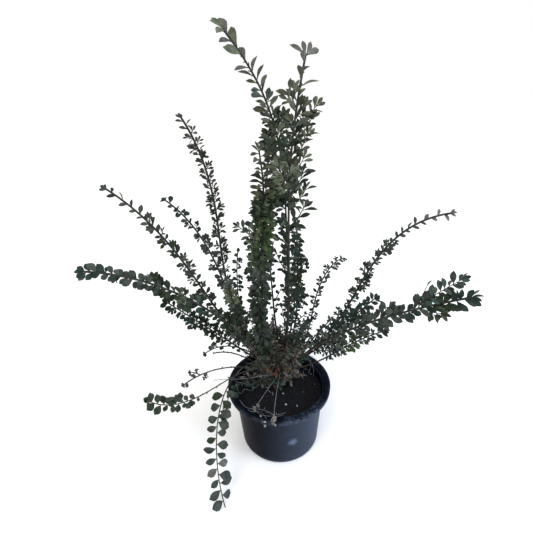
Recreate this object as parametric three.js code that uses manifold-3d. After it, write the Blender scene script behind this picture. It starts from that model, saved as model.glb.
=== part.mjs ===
// A young rockspray cotoneaster (Cotoneaster horizontalis) in a black nursery pot.
// Millimetres, +Z up. The origin is the middle of the pot's flat underside.
// Each shoot is a bare lower limb, the bough, and a leafy mass that carries on from its tip.
import * as THREE from 'three';
import { mergeVertices } from 'three/addons/utils/BufferGeometryUtils.js';
import Module from 'manifold-3d';

// Clearance between pieces that touch on the real plant.
const GAP = 0.3;
// Corners that lie this close may be taken as one corner, by a coarse or by a fine reader.
const MERGED = [1e-3, 1e-4];

const pot = {
  height: 91, rimRadius: 65, rimDrop: 6.5, rimWidth: 8.7, wall: 1.8,
  neckRadius: 56.3, footRadius: 50.2, footRounding: 5,
  drainHoles: 6, drainRadius: 4, drainRing: 34,
};
const soil = { level: 79, dip: 1.2 };
// The woody foot: a short leaning stem with a root flare, where all the boughs start.
const foot = {
  at: [3, 22], height: 24, flareRadius: 15.5, waistRadius: 9.6, headRadius: 11, lean: [-0.06, 0.03],
};
// thinning: how many of the plant's leaves each leaf here stands for. enlarged: how much larger it is.
const leaf = {
  length: 12.5, width: 8.6, thickness: 0.9, widestAt: 0.56, angle: 56, thinning: 2.2, enlarged: 1.3,
};
// step: distance between the rings of a limb.
const bough = { sides: 5, step: 12 };
const stem = { sides: 3, step: 18, tipRadius: 0.7 };
const twig = { sides: 3, step: 26, rootRadius: 0.8, tipRadius: 0.55, angle: 48, bendIn: 26 };

// One entry a shoot. root: angle round the foot, distance from its middle, height above the soil.
// grow: heading (0 is +X, 90 is away from the viewer), swing, lift above level, bow, sway, in degrees.
// Heading turns by swing and lift by bow from root to tip, and sway adds to the lift at mid length.
// bare: length of the leafless limb. face: turn of the plane that the two ranks of leaves lie in.
// round: how far a leaf may leave that plane. leafGap: distance along the stem from leaf to leaf.
const shoots = {
  tallLeft: {
    root: [120, 4, 22], grow: [47, 172, 59, -17, 37], length: 409, girth: 3.4, bare: 46,
    face: -62, round: 40, leafGap: 6.2, leafSize: 1, twigs: 6, twigLength: 30,
  },
  tallRight: {
    root: [330, 5, 22], grow: [287, 115, 77, -4, 15], length: 360, girth: 3.4, bare: 44,
    face: -85, round: 40, leafGap: 6.2, leafSize: 0.95, twigs: 7, twigLength: 32,
  },
  frontColumn: {
    root: [235, 6, 20], grow: [230, -35, 53, 27, 30], length: 290, girth: 3.2, bare: 34,
    face: 60, round: 85, leafGap: 4, leafSize: 0.9, twigs: 3, twigLength: 20,
  },
  rearRight: {
    root: [45, 6, 19], grow: [60, 15, 33, 72, 17], length: 205, girth: 2.6, bare: 32,
    face: 18, round: 60, leafGap: 5.6, leafSize: 0.8, twigs: 3, twigLength: 16,
  },
  leftUpright: {
    root: [150, 7, 20], grow: [150, 5, 25, 30, 47], length: 335, girth: 3, bare: 58,
    face: -50, round: 40, leafGap: 6, leafSize: 0.68, twigs: 6, twigLength: 10,
  },
  leftBack: {
    root: [160, 8, 17], grow: [172, -20, 40, -15, 41], length: 260, girth: 2.8, bare: 60,
    face: -52, round: 35, leafGap: 7.6, leafSize: 0.72, twigs: 3, twigLength: 12,
  },
  leftLong: {
    root: [184, 8, 12], grow: [176, -2, 41, -6, 25], length: 305, girth: 3, bare: 62,
    face: -60, round: 30, leafGap: 7, leafSize: 0.74, twigs: 5, twigLength: 14,
  },
  leftBough: {
    root: [205, 8, 14], grow: [190, 5, 61, -48, 7], length: 270, girth: 3.2, bare: 55,
    face: -64, round: 22, leafGap: 6, leafSize: 1, twigs: 3, twigLength: 18,
  },
  leftLow: {
    root: [190, 8, 9], grow: [160, 50, 29, 21, 4], length: 175, girth: 2.6, bare: 52,
    face: -62, round: 25, leafGap: 7, leafSize: 0.85, twigs: 2, twigLength: 20,
  },
  leftInner: {
    root: [223, 8, 19], grow: [195, 10, 36, 43, 17], length: 150, girth: 2.4, bare: 34,
    face: 85, round: 60, leafGap: 5.6, leafSize: 0.72, twigs: 2, twigLength: 20,
  },
  innerUpright: {
    root: [135, 8, 13], grow: [155, -85, -1, 68, 34], length: 180, girth: 2.2, bare: 60,
    face: -6, round: 30, leafGap: 8, leafSize: 0.55, twigs: 1, twigLength: 12,
  },
  rightSmall: {
    root: [30, 7, 17], grow: [35, 10, 12, -31, 79], length: 180, girth: 2.2, bare: 58,
    face: 38, round: 30, leafGap: 8.6, leafSize: 0.72, twigs: 1, twigLength: 10,
  },
  rightLong: {
    root: [12, 8, 16], grow: [25, -35, 9, 1, 56], length: 290, girth: 3, bare: 42,
    face: 60, round: 40, leafGap: 6, leafSize: 0.76, twigs: 6, twigLength: 14,
  },
  rightInner: {
    root: [2, 7, 21], grow: [-5, 20, 20, 16, 18], length: 145, girth: 2.4, bare: 34,
    face: 52, round: 45, leafGap: 5, leafSize: 0.78, twigs: 3, twigLength: 28,
  },
  rightBough: {
    root: [335, 8, 15], grow: [0, -25, 49, -22, -7], length: 240, girth: 3.2, bare: 50,
    face: 58, round: 22, leafGap: 5.6, leafSize: 1, twigs: 3, twigLength: 26,
  },
  rightLow: {
    root: [350, 8, 11], grow: [-10, 0, 15, 10, 20], length: 140, girth: 2.4, bare: 34,
    face: 56, round: 30, leafGap: 5.6, leafSize: 0.75, twigs: 2, twigLength: 24,
  },
  twigUpper: {
    root: [172, 8, 8], grow: [150, 45, 34, -68, 20], length: 105, girth: 1.8, bare: 78,
    face: -50, round: 20, leafGap: 9, leafSize: 0.5, twigs: 1, twigLength: 8,
  },
  twigForked: {
    root: [200, 8, 5], grow: [185, 20, 32, -58, 6], length: 125, girth: 1.8, bare: 92,
    face: -48, round: 30, leafGap: 9, leafSize: 0.5, twigs: 1, twigLength: 14,
  },
  twigLeafy: {
    root: [215, 8, 9], grow: [210, -5, 60, -8, -71], length: 175, girth: 2.2, bare: 112,
    face: -46, round: 25, leafGap: 6.6, leafSize: 0.9, twigs: 1, twigLength: 12,
  },
  hanging: {
    root: [240, 8, 13], grow: [195, 105, 74, -127, -57], length: 230, girth: 2.2, bare: 80,
    face: -17, round: 22, leafGap: 7.6, leafSize: 1.06, twigs: 0, twigLength: 0,
  },
  frontLeft: {
    root: [248, 8, 9], grow: [245, 5, 10, 1, -1], length: 75, girth: 1.6, bare: 44,
    face: -26, round: 60, leafGap: 6, leafSize: 0.5, twigs: 1, twigLength: 14,
  },
  frontMiddle: {
    root: [268, 8, 14], grow: [262, 2, 16, -36, 6], length: 84, girth: 1.6, bare: 50,
    face: -8, round: 60, leafGap: 6, leafSize: 0.5, twigs: 1, twigLength: 14,
  },
  backLeft: {
    root: [105, 7, 17], grow: [120, -15, 40, 22, 15], length: 190, girth: 2.6, bare: 50,
    face: -16, round: 45, leafGap: 7, leafSize: 0.85, twigs: 3, twigLength: 24,
  },
  backMiddle: {
    root: [85, 6, 20], grow: [104, -10, 52, -12, 22], length: 225, girth: 2.8, bare: 52,
    face: -6, round: 35, leafGap: 7, leafSize: 0.85, twigs: 4, twigLength: 24,
  },
  backRight: {
    root: [62, 7, 15], grow: [68, 14, 34, 6, 20], length: 175, girth: 2.6, bare: 48,
    face: 9, round: 40, leafGap: 7, leafSize: 0.85, twigs: 3, twigLength: 24,
  },
};

const finishes = {
  pot: { color: 0x26282c, roughness: 0.42, metalness: 0 },
  soil: { color: 0x1f2127, roughness: 0.95, metalness: 0 },
  bark: { color: 0x3f362e, roughness: 0.85, metalness: 0 },
  foliage: { color: 0x3b4636, roughness: 0.5, metalness: 0 },
};

const wasm = await Module();
wasm.setup();

const radians = THREE.MathUtils.degToRad;
const vector = (x, y, z) => new THREE.Vector3(x, y, z);

// A repeatable run of numbers between 0 and 1.
function seededRandom(seed) {
  let state = seed * 7919 + 17;
  return () => {
    state = (state * 1664525 + 1013904223) % 4294967296;
    return state / 4294967296;
  };
}

// A three.js geometry as a solid that can be joined and cut.
function solidOf(geometry) {
  const bare = geometry.index ? geometry.toNonIndexed() : geometry.clone();
  bare.deleteAttribute('normal');
  bare.deleteAttribute('uv');
  const merged = mergeVertices(bare, 1e-4);
  return new wasm.Manifold(new wasm.Mesh({
    numProp: 3,
    vertProperties: merged.attributes.position.array,
    triVerts: new Uint32Array(merged.index.array),
  }));
}

// The other way round: a solid as the geometry of a mesh.
function geometryOf(solid) {
  const { vertProperties, triVerts } = solid.getMesh();
  const geometry = new THREE.BufferGeometry();
  geometry.setAttribute('position', new THREE.BufferAttribute(new Float32Array(vertProperties), 3));
  geometry.setIndex(new THREE.BufferAttribute(new Uint32Array(triVerts), 1));
  geometry.computeVertexNormals();
  return geometry;
}

function meshOf(name, solid, finish) {
  const mesh = new THREE.Mesh(geometryOf(solid), new THREE.MeshStandardMaterial(finishes[finish]));
  mesh.name = name;
  return mesh;
}

// A turned shape from its outline, given as pairs of radius and height.
function turned(outline, sides) {
  const points = outline.map(([r, z]) => new THREE.Vector2(r, z));
  return new THREE.LatheGeometry(points, sides).rotateX(Math.PI / 2);
}

// Radius of the pot's outer wall, and of the hollow that the soil fills, at a height.
function wallRadius(z) {
  const neckHeight = pot.height - pot.rimDrop;
  return pot.footRadius + (pot.neckRadius - pot.footRadius) * z / neckHeight;
}

function potSolid() {
  const { height, rimRadius, rimDrop, rimWidth, wall, footRounding } = pot;
  const neckHeight = height - rimDrop;
  const rounding = [0, 1, 2, 3].map((i) => {
    const a = radians(90 * i / 3);
    return [
      wallRadius(footRounding) - footRounding * (1 - Math.sin(a)),
      footRounding * (1 - Math.cos(a)),
    ];
  });
  const outline = [
    [0, 0], ...rounding,
    [wallRadius(neckHeight - 3), neckHeight - 3],
    [rimRadius - 2.4, neckHeight],
    [rimRadius - 0.6, neckHeight + 0.8],
    [rimRadius, height - 2],
    [rimRadius - 1, height - 0.4],
    [rimRadius - 2.2, height],
    [rimRadius - rimWidth + 1.4, height - 0.3],
    [rimRadius - rimWidth, height - 1.5],
    [wallRadius(neckHeight - 3) - wall, neckHeight - 3],
    [wallRadius(wall + 3) - wall, wall + 3],
    [wallRadius(wall) - wall - 3, wall],
    [0, wall],
  ];
  let solid = solidOf(turned(outline, 44));
  for (let i = 0; i < pot.drainHoles; i++) {
    const a = 2 * Math.PI * i / pot.drainHoles;
    const hole = new THREE.CylinderGeometry(pot.drainRadius, pot.drainRadius, 3 * wall, 10);
    hole.rotateX(Math.PI / 2);
    hole.translate(pot.drainRing * Math.cos(a), pot.drainRing * Math.sin(a), wall / 2);
    solid = solid.subtract(solidOf(hole));
  }
  return solid;
}

function soilSolid() {
  const inner = (z) => wallRadius(z) - pot.wall - GAP;
  const floor = pot.wall + GAP;
  const outline = [
    [0, floor],
    [inner(floor) - 3.5, floor],
    [inner(floor + 3.5), floor + 3.5],
    [inner(soil.level - soil.dip), soil.level - soil.dip],
    [foot.flareRadius + 24, soil.level],
    [0, soil.level],
  ];
  return solidOf(turned(outline, 44));
}

// The foot's outline, grown outwards by a margin so that a bough can be cut clear of it.
function footSolid(margin) {
  const { height, flareRadius, waistRadius, headRadius, lean, at } = foot;
  const base = soil.level + GAP;
  const outline = [
    [0, -margin], [flareRadius + margin, -margin], [flareRadius + margin, margin],
    [flareRadius - 3.4 + margin, 2.2 + margin], [waistRadius + margin, 6.5],
    [waistRadius + 0.3 + margin, 11],
    [headRadius + margin, 15.5], [headRadius - 0.4 + margin, height - 4],
    [headRadius - 4 + margin, height - 0.8 + margin], [0, height + margin],
  ];
  const geometry = turned(outline, 14);
  const shear = new THREE.Matrix4().set(1, 0, lean[0], 0, 0, 1, lean[1], 0, 0, 0, 1, 0, 0, 0, 0, 1);
  return solidOf(geometry.applyMatrix4(shear).translate(at[0], at[1], base));
}

// Direction of growth, and the two directions across it, at a fraction of a shoot's length.
function growthAt(shoot, s) {
  const [heading, swing, lift, bow, sway] = shoot.grow;
  const h = radians(heading + swing * s);
  const e = radians(lift + bow * s + sway * Math.sin(Math.PI * s));
  const along = vector(Math.cos(e) * Math.cos(h), Math.cos(e) * Math.sin(h), Math.sin(e));
  const level = vector(-Math.sin(h), Math.cos(h), 0);
  const over = vector().crossVectors(along, level);
  const turn = radians(shoot.face);
  const side = level.clone().multiplyScalar(Math.cos(turn)).addScaledVector(over, Math.sin(turn));
  return { along, side, top: vector().crossVectors(along, side) };
}

// Frames at every millimetre of a shoot's length.
function routeOf(shoot) {
  const [angle, out, up] = shoot.root;
  const at = vector(
    foot.at[0] + out * Math.cos(radians(angle)),
    foot.at[1] + out * Math.sin(radians(angle)),
    soil.level + up,
  );
  const frames = [];
  for (let d = 0; d <= shoot.length; d++) {
    const frame = growthAt(shoot, d / shoot.length);
    frames.push({ at: at.clone(), ...frame });
    at.add(growthAt(shoot, (d + 0.5) / shoot.length).along);
  }
  return frames;
}

// A tapering closed limb along frames: a cylinder whose rings are moved onto them.
function limbGeometry(frames, rootRadius, tipRadius, sides) {
  const rings = frames.length - 1;
  const geometry = new THREE.CylinderGeometry(1, 1, 1, sides, rings);
  const place = geometry.attributes.position;
  for (let i = 0; i < place.count; i++) {
    const ring = Math.round((0.5 + place.getY(i)) * rings);
    const { at, side, top } = frames[ring];
    const radius = rootRadius + (tipRadius - rootRadius) * ring / rings;
    const p = at.clone()
      .addScaledVector(top, place.getX(i) * radius)
      .addScaledVector(side, place.getZ(i) * radius);
    place.setXYZ(i, p.x, p.y, p.z);
  }
  return geometry;
}

// Convex pieces that a limb is made of, to test what comes near it.
function limbPieces(frames, rootRadius, tipRadius, sides) {
  const pieces = [];
  for (let i = 1; i < frames.length; i++) {
    const span = [frames[i - 1], frames[i]];
    const radii = [i - 1, i].map((k) => rootRadius + (tipRadius - rootRadius) * k / (frames.length - 1));
    pieces.push(pieceOf(limbGeometry(span, radii[0], radii[1], sides)));
  }
  return pieces;
}

// A leaf: two three-sided pyramids base to base, drawn out from root to tip, flat above with a keel below.
function leafGeometry({ at, along, across, length, width }) {
  const geometry = new THREE.SphereGeometry(1, 3, 2);
  const keel = vector().crossVectors(along, across);
  const place = geometry.attributes.position;
  for (let i = 0; i < place.count; i++) {
    const y = place.getY(i);
    const reach = y > 0.5 ? length : y < -0.5 ? 0 : length * leaf.widestAt;
    const p = at.clone()
      .addScaledVector(along, reach)
      .addScaledVector(across, place.getZ(i) * width / Math.sqrt(3))
      .addScaledVector(keel, place.getX(i) * leaf.thickness / 1.5);
    place.setXYZ(i, p.x, p.y, p.z);
  }
  return geometry;
}

// Corners, face normals and edge directions of a convex geometry.
function pieceOf(geometry) {
  const bare = geometry.index ? geometry.toNonIndexed() : geometry;
  const place = bare.attributes.position;
  const points = [];
  const normals = [];
  const edges = [];
  const known = (list, v) => list.some((w) => Math.abs(w.dot(v)) > 0.9995);
  for (let i = 0; i < place.count; i += 3) {
    const corners = [0, 1, 2].map((k) => vector().fromBufferAttribute(place, i + k));
    points.push(...corners);
    const sides = [0, 1, 2].map((k) => corners[(k + 1) % 3].clone().sub(corners[k]).normalize());
    const normal = vector().crossVectors(sides[0], sides[1]).normalize();
    if (!known(normals, normal)) normals.push(normal);
    for (const edge of sides) if (!known(edges, edge)) edges.push(edge);
  }
  const box = new THREE.Box3().setFromPoints(points).expandByScalar(GAP);
  return { points, normals, edges, box };
}

// True if some direction shows a clear gap between two convex pieces.
function apart(a, b, clearance) {
  if (!a.box.intersectsBox(b.box)) return true;
  const shows = (axis) => {
    let lowA = Infinity, highA = -Infinity, lowB = Infinity, highB = -Infinity;
    for (const p of a.points) {
      const t = p.dot(axis);
      lowA = Math.min(lowA, t);
      highA = Math.max(highA, t);
    }
    for (const p of b.points) {
      const t = p.dot(axis);
      lowB = Math.min(lowB, t);
      highB = Math.max(highB, t);
    }
    return lowA - highB > clearance || lowB - highA > clearance;
  };
  if (a.normals.some(shows) || b.normals.some(shows)) return true;
  const axis = vector();
  for (const u of a.edges) {
    for (const v of b.edges) {
      axis.crossVectors(u, v);
      if (axis.lengthSq() < 1e-6) continue;
      if (shows(axis.normalize())) return true;
    }
  }
  return false;
}

// Whether a piece keeps clear of the pot, the soil, the foot and the ground.
function clearOfPot(piece) {
  const zoneOf = (p) => {
    const r = Math.hypot(p.x, p.y);
    if (p.z > pot.height + GAP) return 'above';
    if (r > pot.rimRadius + GAP) return 'outside';
    if (p.z < pot.height - pot.rimDrop - 4 && r > pot.neckRadius + GAP) return 'outside';
    if (r < wallRadius(p.z) - pot.wall - 1 && p.z > soil.level + GAP) return 'inside';
    return 'solid';
  };
  const zone = zoneOf(piece.points[0]);
  if (piece.points.some((p) => p.z < 2 || zoneOf(p) === 'solid')) return false;
  const fromFoot = (p) => Math.hypot(p.x - foot.at[0], p.y - foot.at[1]);
  const inFoot = (p) => p.z < soil.level + foot.height + 1 && fromFoot(p) < foot.flareRadius + 1;
  if (piece.points.some(inFoot)) return false;
  return zone === 'above' || piece.points.every((p) => zoneOf(p) === zone || zoneOf(p) === 'above');
}

// Everything made so far, as convex pieces with the name of their node.
const taken = [];
function free(pieces, node) {
  return pieces.every((piece) => clearOfPot(piece) && taken.every(
    (other) => other.node === node || apart(piece, other.piece, GAP),
  ));
}
function take(pieces, node) {
  for (const piece of pieces) taken.push({ piece, node });
}

// Frames for the rings of a limb. The places between two rings move onto the straight line that joins
// them, where the limb's own axis runs, so that what grows there is rooted in it.
function straighten(frames, step) {
  const last = frames.length - 1;
  const count = Math.max(1, Math.round(last / step));
  const marks = Array.from({ length: count + 1 }, (_, i) => Math.round(last * i / count));
  for (let k = 1; k <= count; k++) {
    const [low, high] = [marks[k - 1], marks[k]];
    for (let d = low + 1; d < high; d++) {
      frames[d].at.lerpVectors(frames[low].at, frames[high].at, (d - low) / (high - low));
    }
  }
  return marks.map((mark) => frames[mark]);
}

// The limb of each shoot, from inside the foot to where its leaves begin.
function boughOf(name, shoot) {
  const rings = straighten(shoot.route.slice(0, shoot.bare + 1), bough.step);
  const rootRadius = shoot.girth / 2;
  const tipRadius = radiusAt(shoot, shoot.bare);
  take(limbPieces(rings, rootRadius, tipRadius, bough.sides), name);
  return limbGeometry(rings, rootRadius, tipRadius, bough.sides);
}

function radiusAt(shoot, d) {
  const rootRadius = shoot.girth / 2;
  return rootRadius + (stem.tipRadius - rootRadius) * d / shoot.length;
}

// Outward direction of a rank at a frame, rolled round the stem.
function sideways(frame, rank, roll) {
  return frame.side.clone().multiplyScalar(rank * Math.cos(roll)).addScaledVector(frame.top, Math.sin(roll));
}

// Leaves in two ranks along a run of frames, alternate sides, and one at the tip.
function leavesAlong(frames, from, gap, size, round, random) {
  const found = [];
  let rank = 1;
  for (let d = from; d < frames.length - 2; d += gap * leaf.thinning) {
    const frame = frames[Math.round(d)];
    const roll = radians(round * (2 * random() - 1));
    const angle = radians(leaf.angle + 14 * (2 * random() - 1));
    const scale = size * leaf.enlarged * (0.86 + 0.28 * random());
    const tilt = radians(25 * (2 * random() - 1));
    const out = sideways(frame, rank, roll);
    const along = frame.along.clone().multiplyScalar(Math.cos(angle)).addScaledVector(out, Math.sin(angle));
    const flat = vector().crossVectors(frame.along, out).normalize();
    const across = vector().crossVectors(flat, along).normalize().applyAxisAngle(along, tilt);
    found.push({ at: frame.at, along, across, length: leaf.length * scale, width: leaf.width * scale });
    rank = -rank;
  }
  const last = frames[frames.length - 1];
  found.push({
    at: last.at.clone().addScaledVector(last.along, -1), along: last.along, across: last.side,
    length: leaf.length * size, width: leaf.width * size * 0.85,
  });
  return found;
}

// A side twig: it leaves the stem at an angle and bends back towards the stem's direction.
function twigFrames(frame, rank, length, random) {
  const roll = radians(24 * (2 * random() - 1));
  const angle = twig.angle + 10 * (2 * random() - 1);
  const out = sideways(frame, rank, roll);
  const at = frame.at.clone();
  const frames = [];
  for (let d = 0; d <= length; d++) {
    const a = radians(angle - twig.bendIn * d / length);
    const along = frame.along.clone().multiplyScalar(Math.cos(a)).addScaledVector(out, Math.sin(a));
    const top = vector().crossVectors(frame.along, out).normalize();
    frames.push({ at: at.clone(), along, side: vector().crossVectors(top, along), top });
    at.add(along);
  }
  frames.rings = straighten(frames, twig.step);
  return frames;
}

// All that grows on a shoot past its bough: the stem, side twigs and the leaves on both.
function planMass(shoot, seed) {
  const random = seededRandom(seed);
  const leafy = shoot.route.slice(shoot.bare);
  leafy[0] = { ...leafy[0], at: leafy[0].at.clone().addScaledVector(leafy[0].along, GAP) };
  const rings = straighten(leafy, stem.step);
  const twigs = [];
  for (let i = 0; i < shoot.twigs; i++) {
    const s = (i + 0.5 + 0.3 * (2 * random() - 1)) / (shoot.twigs + 0.6);
    const rank = i % 2 ? 1 : -1;
    const length = shoot.twigLength * (1 - 0.45 * s) * (0.8 + 0.4 * random());
    twigs.push(twigFrames(leafy[Math.round(s * (leafy.length - 1))], rank, length, random));
  }
  const sprays = [leavesAlong(leafy, 4, shoot.leafGap, shoot.leafSize, shoot.round, random)];
  for (const frames of twigs) {
    sprays.push(leavesAlong(frames, 7, shoot.leafGap * 1.25, shoot.leafSize * 0.88, 20, random));
  }
  return { rings, twigs, sprays };
}

function growMass(name, shoot, seed) {
  const { rings, twigs, sprays } = planMass(shoot, seed);
  const root = radiusAt(shoot, shoot.bare);
  const parts = [limbGeometry(rings, root, stem.tipRadius, stem.sides)];
  take(limbPieces(rings, root, stem.tipRadius, stem.sides), name);
  const kept = [sprays[0]];
  twigs.forEach((frames, i) => {
    const pieces = limbPieces(frames.rings, twig.rootRadius, twig.tipRadius, twig.sides);
    if (!free(pieces, name)) return;
    take(pieces, name);
    parts.push(limbGeometry(frames.rings, twig.rootRadius, twig.tipRadius, twig.sides));
    kept.push(sprays[i + 1]);
  });
  return { name, parts, leaves: kept.flat() };
}

function addLeaf(mass, blade) {
  const geometry = leafGeometry(blade);
  const piece = pieceOf(geometry);
  if (!free([piece], mass.name)) return;
  take([piece], mass.name);
  mass.parts.push(geometry);
}

// Whether each edge still has two faces once corners that lie closer than a size are one.
function staysClosed(solid, size) {
  const { vertProperties, triVerts } = solid.getMesh();
  const corner = (i) => [0, 1, 2].map((k) => Math.round(vertProperties[3 * i + k] / size)).join();
  const keys = Array.from({ length: vertProperties.length / 3 }, (_, i) => corner(i));
  const open = new Map();
  for (let i = 0; i < triVerts.length; i += 3) {
    const face = [0, 1, 2].map((k) => keys[triVerts[i + k]]);
    if (new Set(face).size < 3) continue;
    face.forEach((from, k) => {
      const edge = from + '>' + face[(k + 1) % 3];
      open.set(edge, (open.get(edge) || 0) + 1);
    });
  }
  const backOf = (edge) => edge.split('>').reverse().join('>');
  return [...open].every(([edge, count]) => count === 1 && open.get(backOf(edge)) === 1);
}

// One solid of a mass's stem, twigs and leaves. What would open its surface is left off, and a scrap
// that misses the stem is dropped.
function fused(parts) {
  const [first, ...others] = parts.map(solidOf);
  const join = (sum, next) => {
    const joined = sum.add(next);
    return MERGED.every((size) => staysClosed(joined, size)) ? joined : sum;
  };
  return others.reduce(join, first).decompose().reduce((a, b) => (a.volume() > b.volume() ? a : b));
}

const group = new THREE.Group();
group.name = 'potted_cotoneaster';
group.add(meshOf('pot', potSolid(), 'pot'));
group.add(meshOf('soil', soilSolid(), 'soil'));
group.add(meshOf('foot_stem', footSolid(0), 'bark'));

// Boughs first, then stems and twigs, then leaves by turns, so that no mass crowds out the next.
const names = Object.keys(shoots);
const cutter = footSolid(GAP);
for (const name of names) {
  shoots[name].route = routeOf(shoots[name]);
  const limb = solidOf(boughOf('bough_' + name, shoots[name])).subtract(cutter);
  group.add(meshOf('bough_' + name, limb, 'bark'));
}
const masses = names.map((name, i) => growMass('mass_' + name, shoots[name], i + 1));
const mostLeaves = Math.max(...masses.map((mass) => mass.leaves.length));
for (let turn = 0; turn < mostLeaves; turn++) {
  for (const mass of masses) {
    if (turn < mass.leaves.length) addLeaf(mass, mass.leaves[turn]);
  }
}
for (const mass of masses) group.add(meshOf(mass.name, fused(mass.parts), 'foliage'));

export default group;
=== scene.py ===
# A young rockspray cotoneaster in a black nursery pot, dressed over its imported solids.
# The plant's sizes are in millimetres and become metres where a mesh is made.
import bpy
import bmesh
import numpy as np
from functools import reduce
from math import atan2, copysign, cos, dist, exp, hypot, log, pi, radians, sin, sqrt
from mathutils import Matrix, Quaternion, Vector, noise


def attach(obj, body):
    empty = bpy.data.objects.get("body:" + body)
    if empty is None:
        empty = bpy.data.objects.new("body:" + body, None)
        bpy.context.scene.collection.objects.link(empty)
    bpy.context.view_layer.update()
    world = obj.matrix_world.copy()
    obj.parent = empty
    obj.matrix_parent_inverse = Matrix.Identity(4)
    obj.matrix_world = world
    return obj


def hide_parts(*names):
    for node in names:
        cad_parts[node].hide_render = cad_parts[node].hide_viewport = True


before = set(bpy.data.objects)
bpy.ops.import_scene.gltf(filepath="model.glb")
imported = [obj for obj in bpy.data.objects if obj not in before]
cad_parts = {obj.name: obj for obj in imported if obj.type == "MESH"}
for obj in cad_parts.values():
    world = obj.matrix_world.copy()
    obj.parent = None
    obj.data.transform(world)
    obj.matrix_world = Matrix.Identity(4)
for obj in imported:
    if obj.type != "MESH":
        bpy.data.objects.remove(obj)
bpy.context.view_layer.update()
scene = bpy.context.scene
metres = 0.001  # one millimetre
upward = Vector((0, 0, 1))
seeds = dict(
    crumbs=311, sprigs=55, litter=77, coreShoots=901, firstCore=200,
    fine=100, stubs=300, tipStubs=400,  # added to a shoot's own seed
)

# Small helpers


def seededRandom(seed):
    state = seed * 7919 + 17

    def draw():
        nonlocal state
        state = (state * 1664525 + 1013904223) % 4294967296
        return state / 4294967296
    return draw


def spread(random, reach):
    return reach * (2 * random() - 1)


def within(random, low, high):
    return low + (high - low) * random()


def varied(random):
    # a factor within a fifth of 1
    return 0.8 + 0.4 * random()


def anyTurn(random):
    return 2 * pi * random()


def tone(red, green, blue):
    # a screen colour, 0 to 255, as the linear colour that shaders take
    def linear(value):
        value /= 255
        return value / 12.92 if value <= 0.04045 else ((value + 0.055) / 1.055) ** 2.4
    return (linear(red), linear(green), linear(blue), 1)


def tones(*colours):
    return [tone(*colour) for colour in colours]


def grey(value):
    return (value, value, value, 1)


def addObject(name, mesh, *materials):
    mesh.name = name
    piece = bpy.data.objects.new(name, mesh)
    scene.collection.objects.link(piece)
    for material in materials:
        mesh.materials.append(material)
    return piece


def dress(piece, nodes):
    # the piece belongs to the plant's one body and stands for some of its solids
    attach(piece, "root")
    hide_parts(*nodes)


def meshFrom(bm):
    bmesh.ops.scale(bm, vec=(metres, metres, metres), verts=bm.verts)
    mesh = bpy.data.meshes.new("mesh")
    bm.to_mesh(mesh)
    bm.free()
    mesh.shade_smooth()
    return mesh


def evaluated(piece):
    # the mesh that an object's curve or modifiers make
    return bpy.data.meshes.new_from_object(piece.evaluated_get(bpy.context.evaluated_depsgraph_get()))


def spun(outline, steps):
    # a closed turned shape from its outline of radius and height
    bm = bmesh.new()
    corners = [bm.verts.new((r, 0, z)) for r, z in outline]
    edges = [bm.edges.new(pair) for pair in zip(corners, corners[1:])]
    bmesh.ops.spin(bm, geom=corners + edges, cent=(0, 0, 0), axis=(0, 0, 1),
                   angle=2 * pi, steps=steps, use_merge=True, use_duplicate=False)
    bmesh.ops.remove_doubles(bm, verts=bm.verts, dist=0.001)
    bmesh.ops.recalc_face_normals(bm, faces=bm.faces)
    return bm


def arc(middle, radius, start, end, count):
    return [(middle[0] + radius * cos(radians(a)), middle[1] + radius * sin(radians(a)))
            for a in np.linspace(start, end, count)]


def between(first, last, count):
    # points along a straight run, both ends left out
    return [tuple(a + (b - a) * i / (count + 1) for a, b in zip(first, last)) for i in range(1, count + 1)]


def pointing(heading, pitch=0):
    # the unit vector of a heading, lifted above level, in radians
    return Vector((cos(pitch) * cos(heading), cos(pitch) * sin(heading), sin(pitch)))


# Many copies of a few small shapes, joined into one mesh


def shapeOf(bm):
    # a small bmesh as arrays, to be repeated
    bm.verts.ensure_lookup_table()
    layer = bm.loops.layers.uv.active
    shape = {
        "corners": np.array([v.co[:] for v in bm.verts]),
        "faces": [[v.index for v in f.verts] for f in bm.faces],
        "kinds": np.array([f.material_index for f in bm.faces]),
        "uvs": np.array([loop[layer].uv[:] for f in bm.faces for loop in f.loops]) if layer else None,
    }
    bm.free()
    return shape


def placed(shape, at, along, across, length, width):
    # one copy: its shape, its place and its scaled axes
    return shape, at, (across * width, along * length, across.cross(along) * length)


def scattered(copies):
    corners, faces, kinds, uvs = [], [], [], []
    offset = 0
    for shape, at, axes in copies:
        corners.append(shape["corners"] @ np.array(axes) + np.array(at))
        faces += [[corner + offset for corner in face] for face in shape["faces"]]
        kinds.append(shape["kinds"])
        if shape["uvs"] is not None:
            uvs.append(shape["uvs"])
        offset += len(shape["corners"])
    mesh = bpy.data.meshes.new("copies")
    mesh.from_pydata(np.concatenate(corners) * metres, [], faces)
    mesh.polygons.foreach_set("material_index", np.concatenate(kinds))
    if uvs:
        mesh.uv_layers.new(name="leaf").data.foreach_set("uv", np.concatenate(uvs).ravel())
    mesh.validate()
    mesh.shade_smooth()
    mesh.set_sharp_from_angle(angle=radians(50))
    return mesh


# Materials


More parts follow.
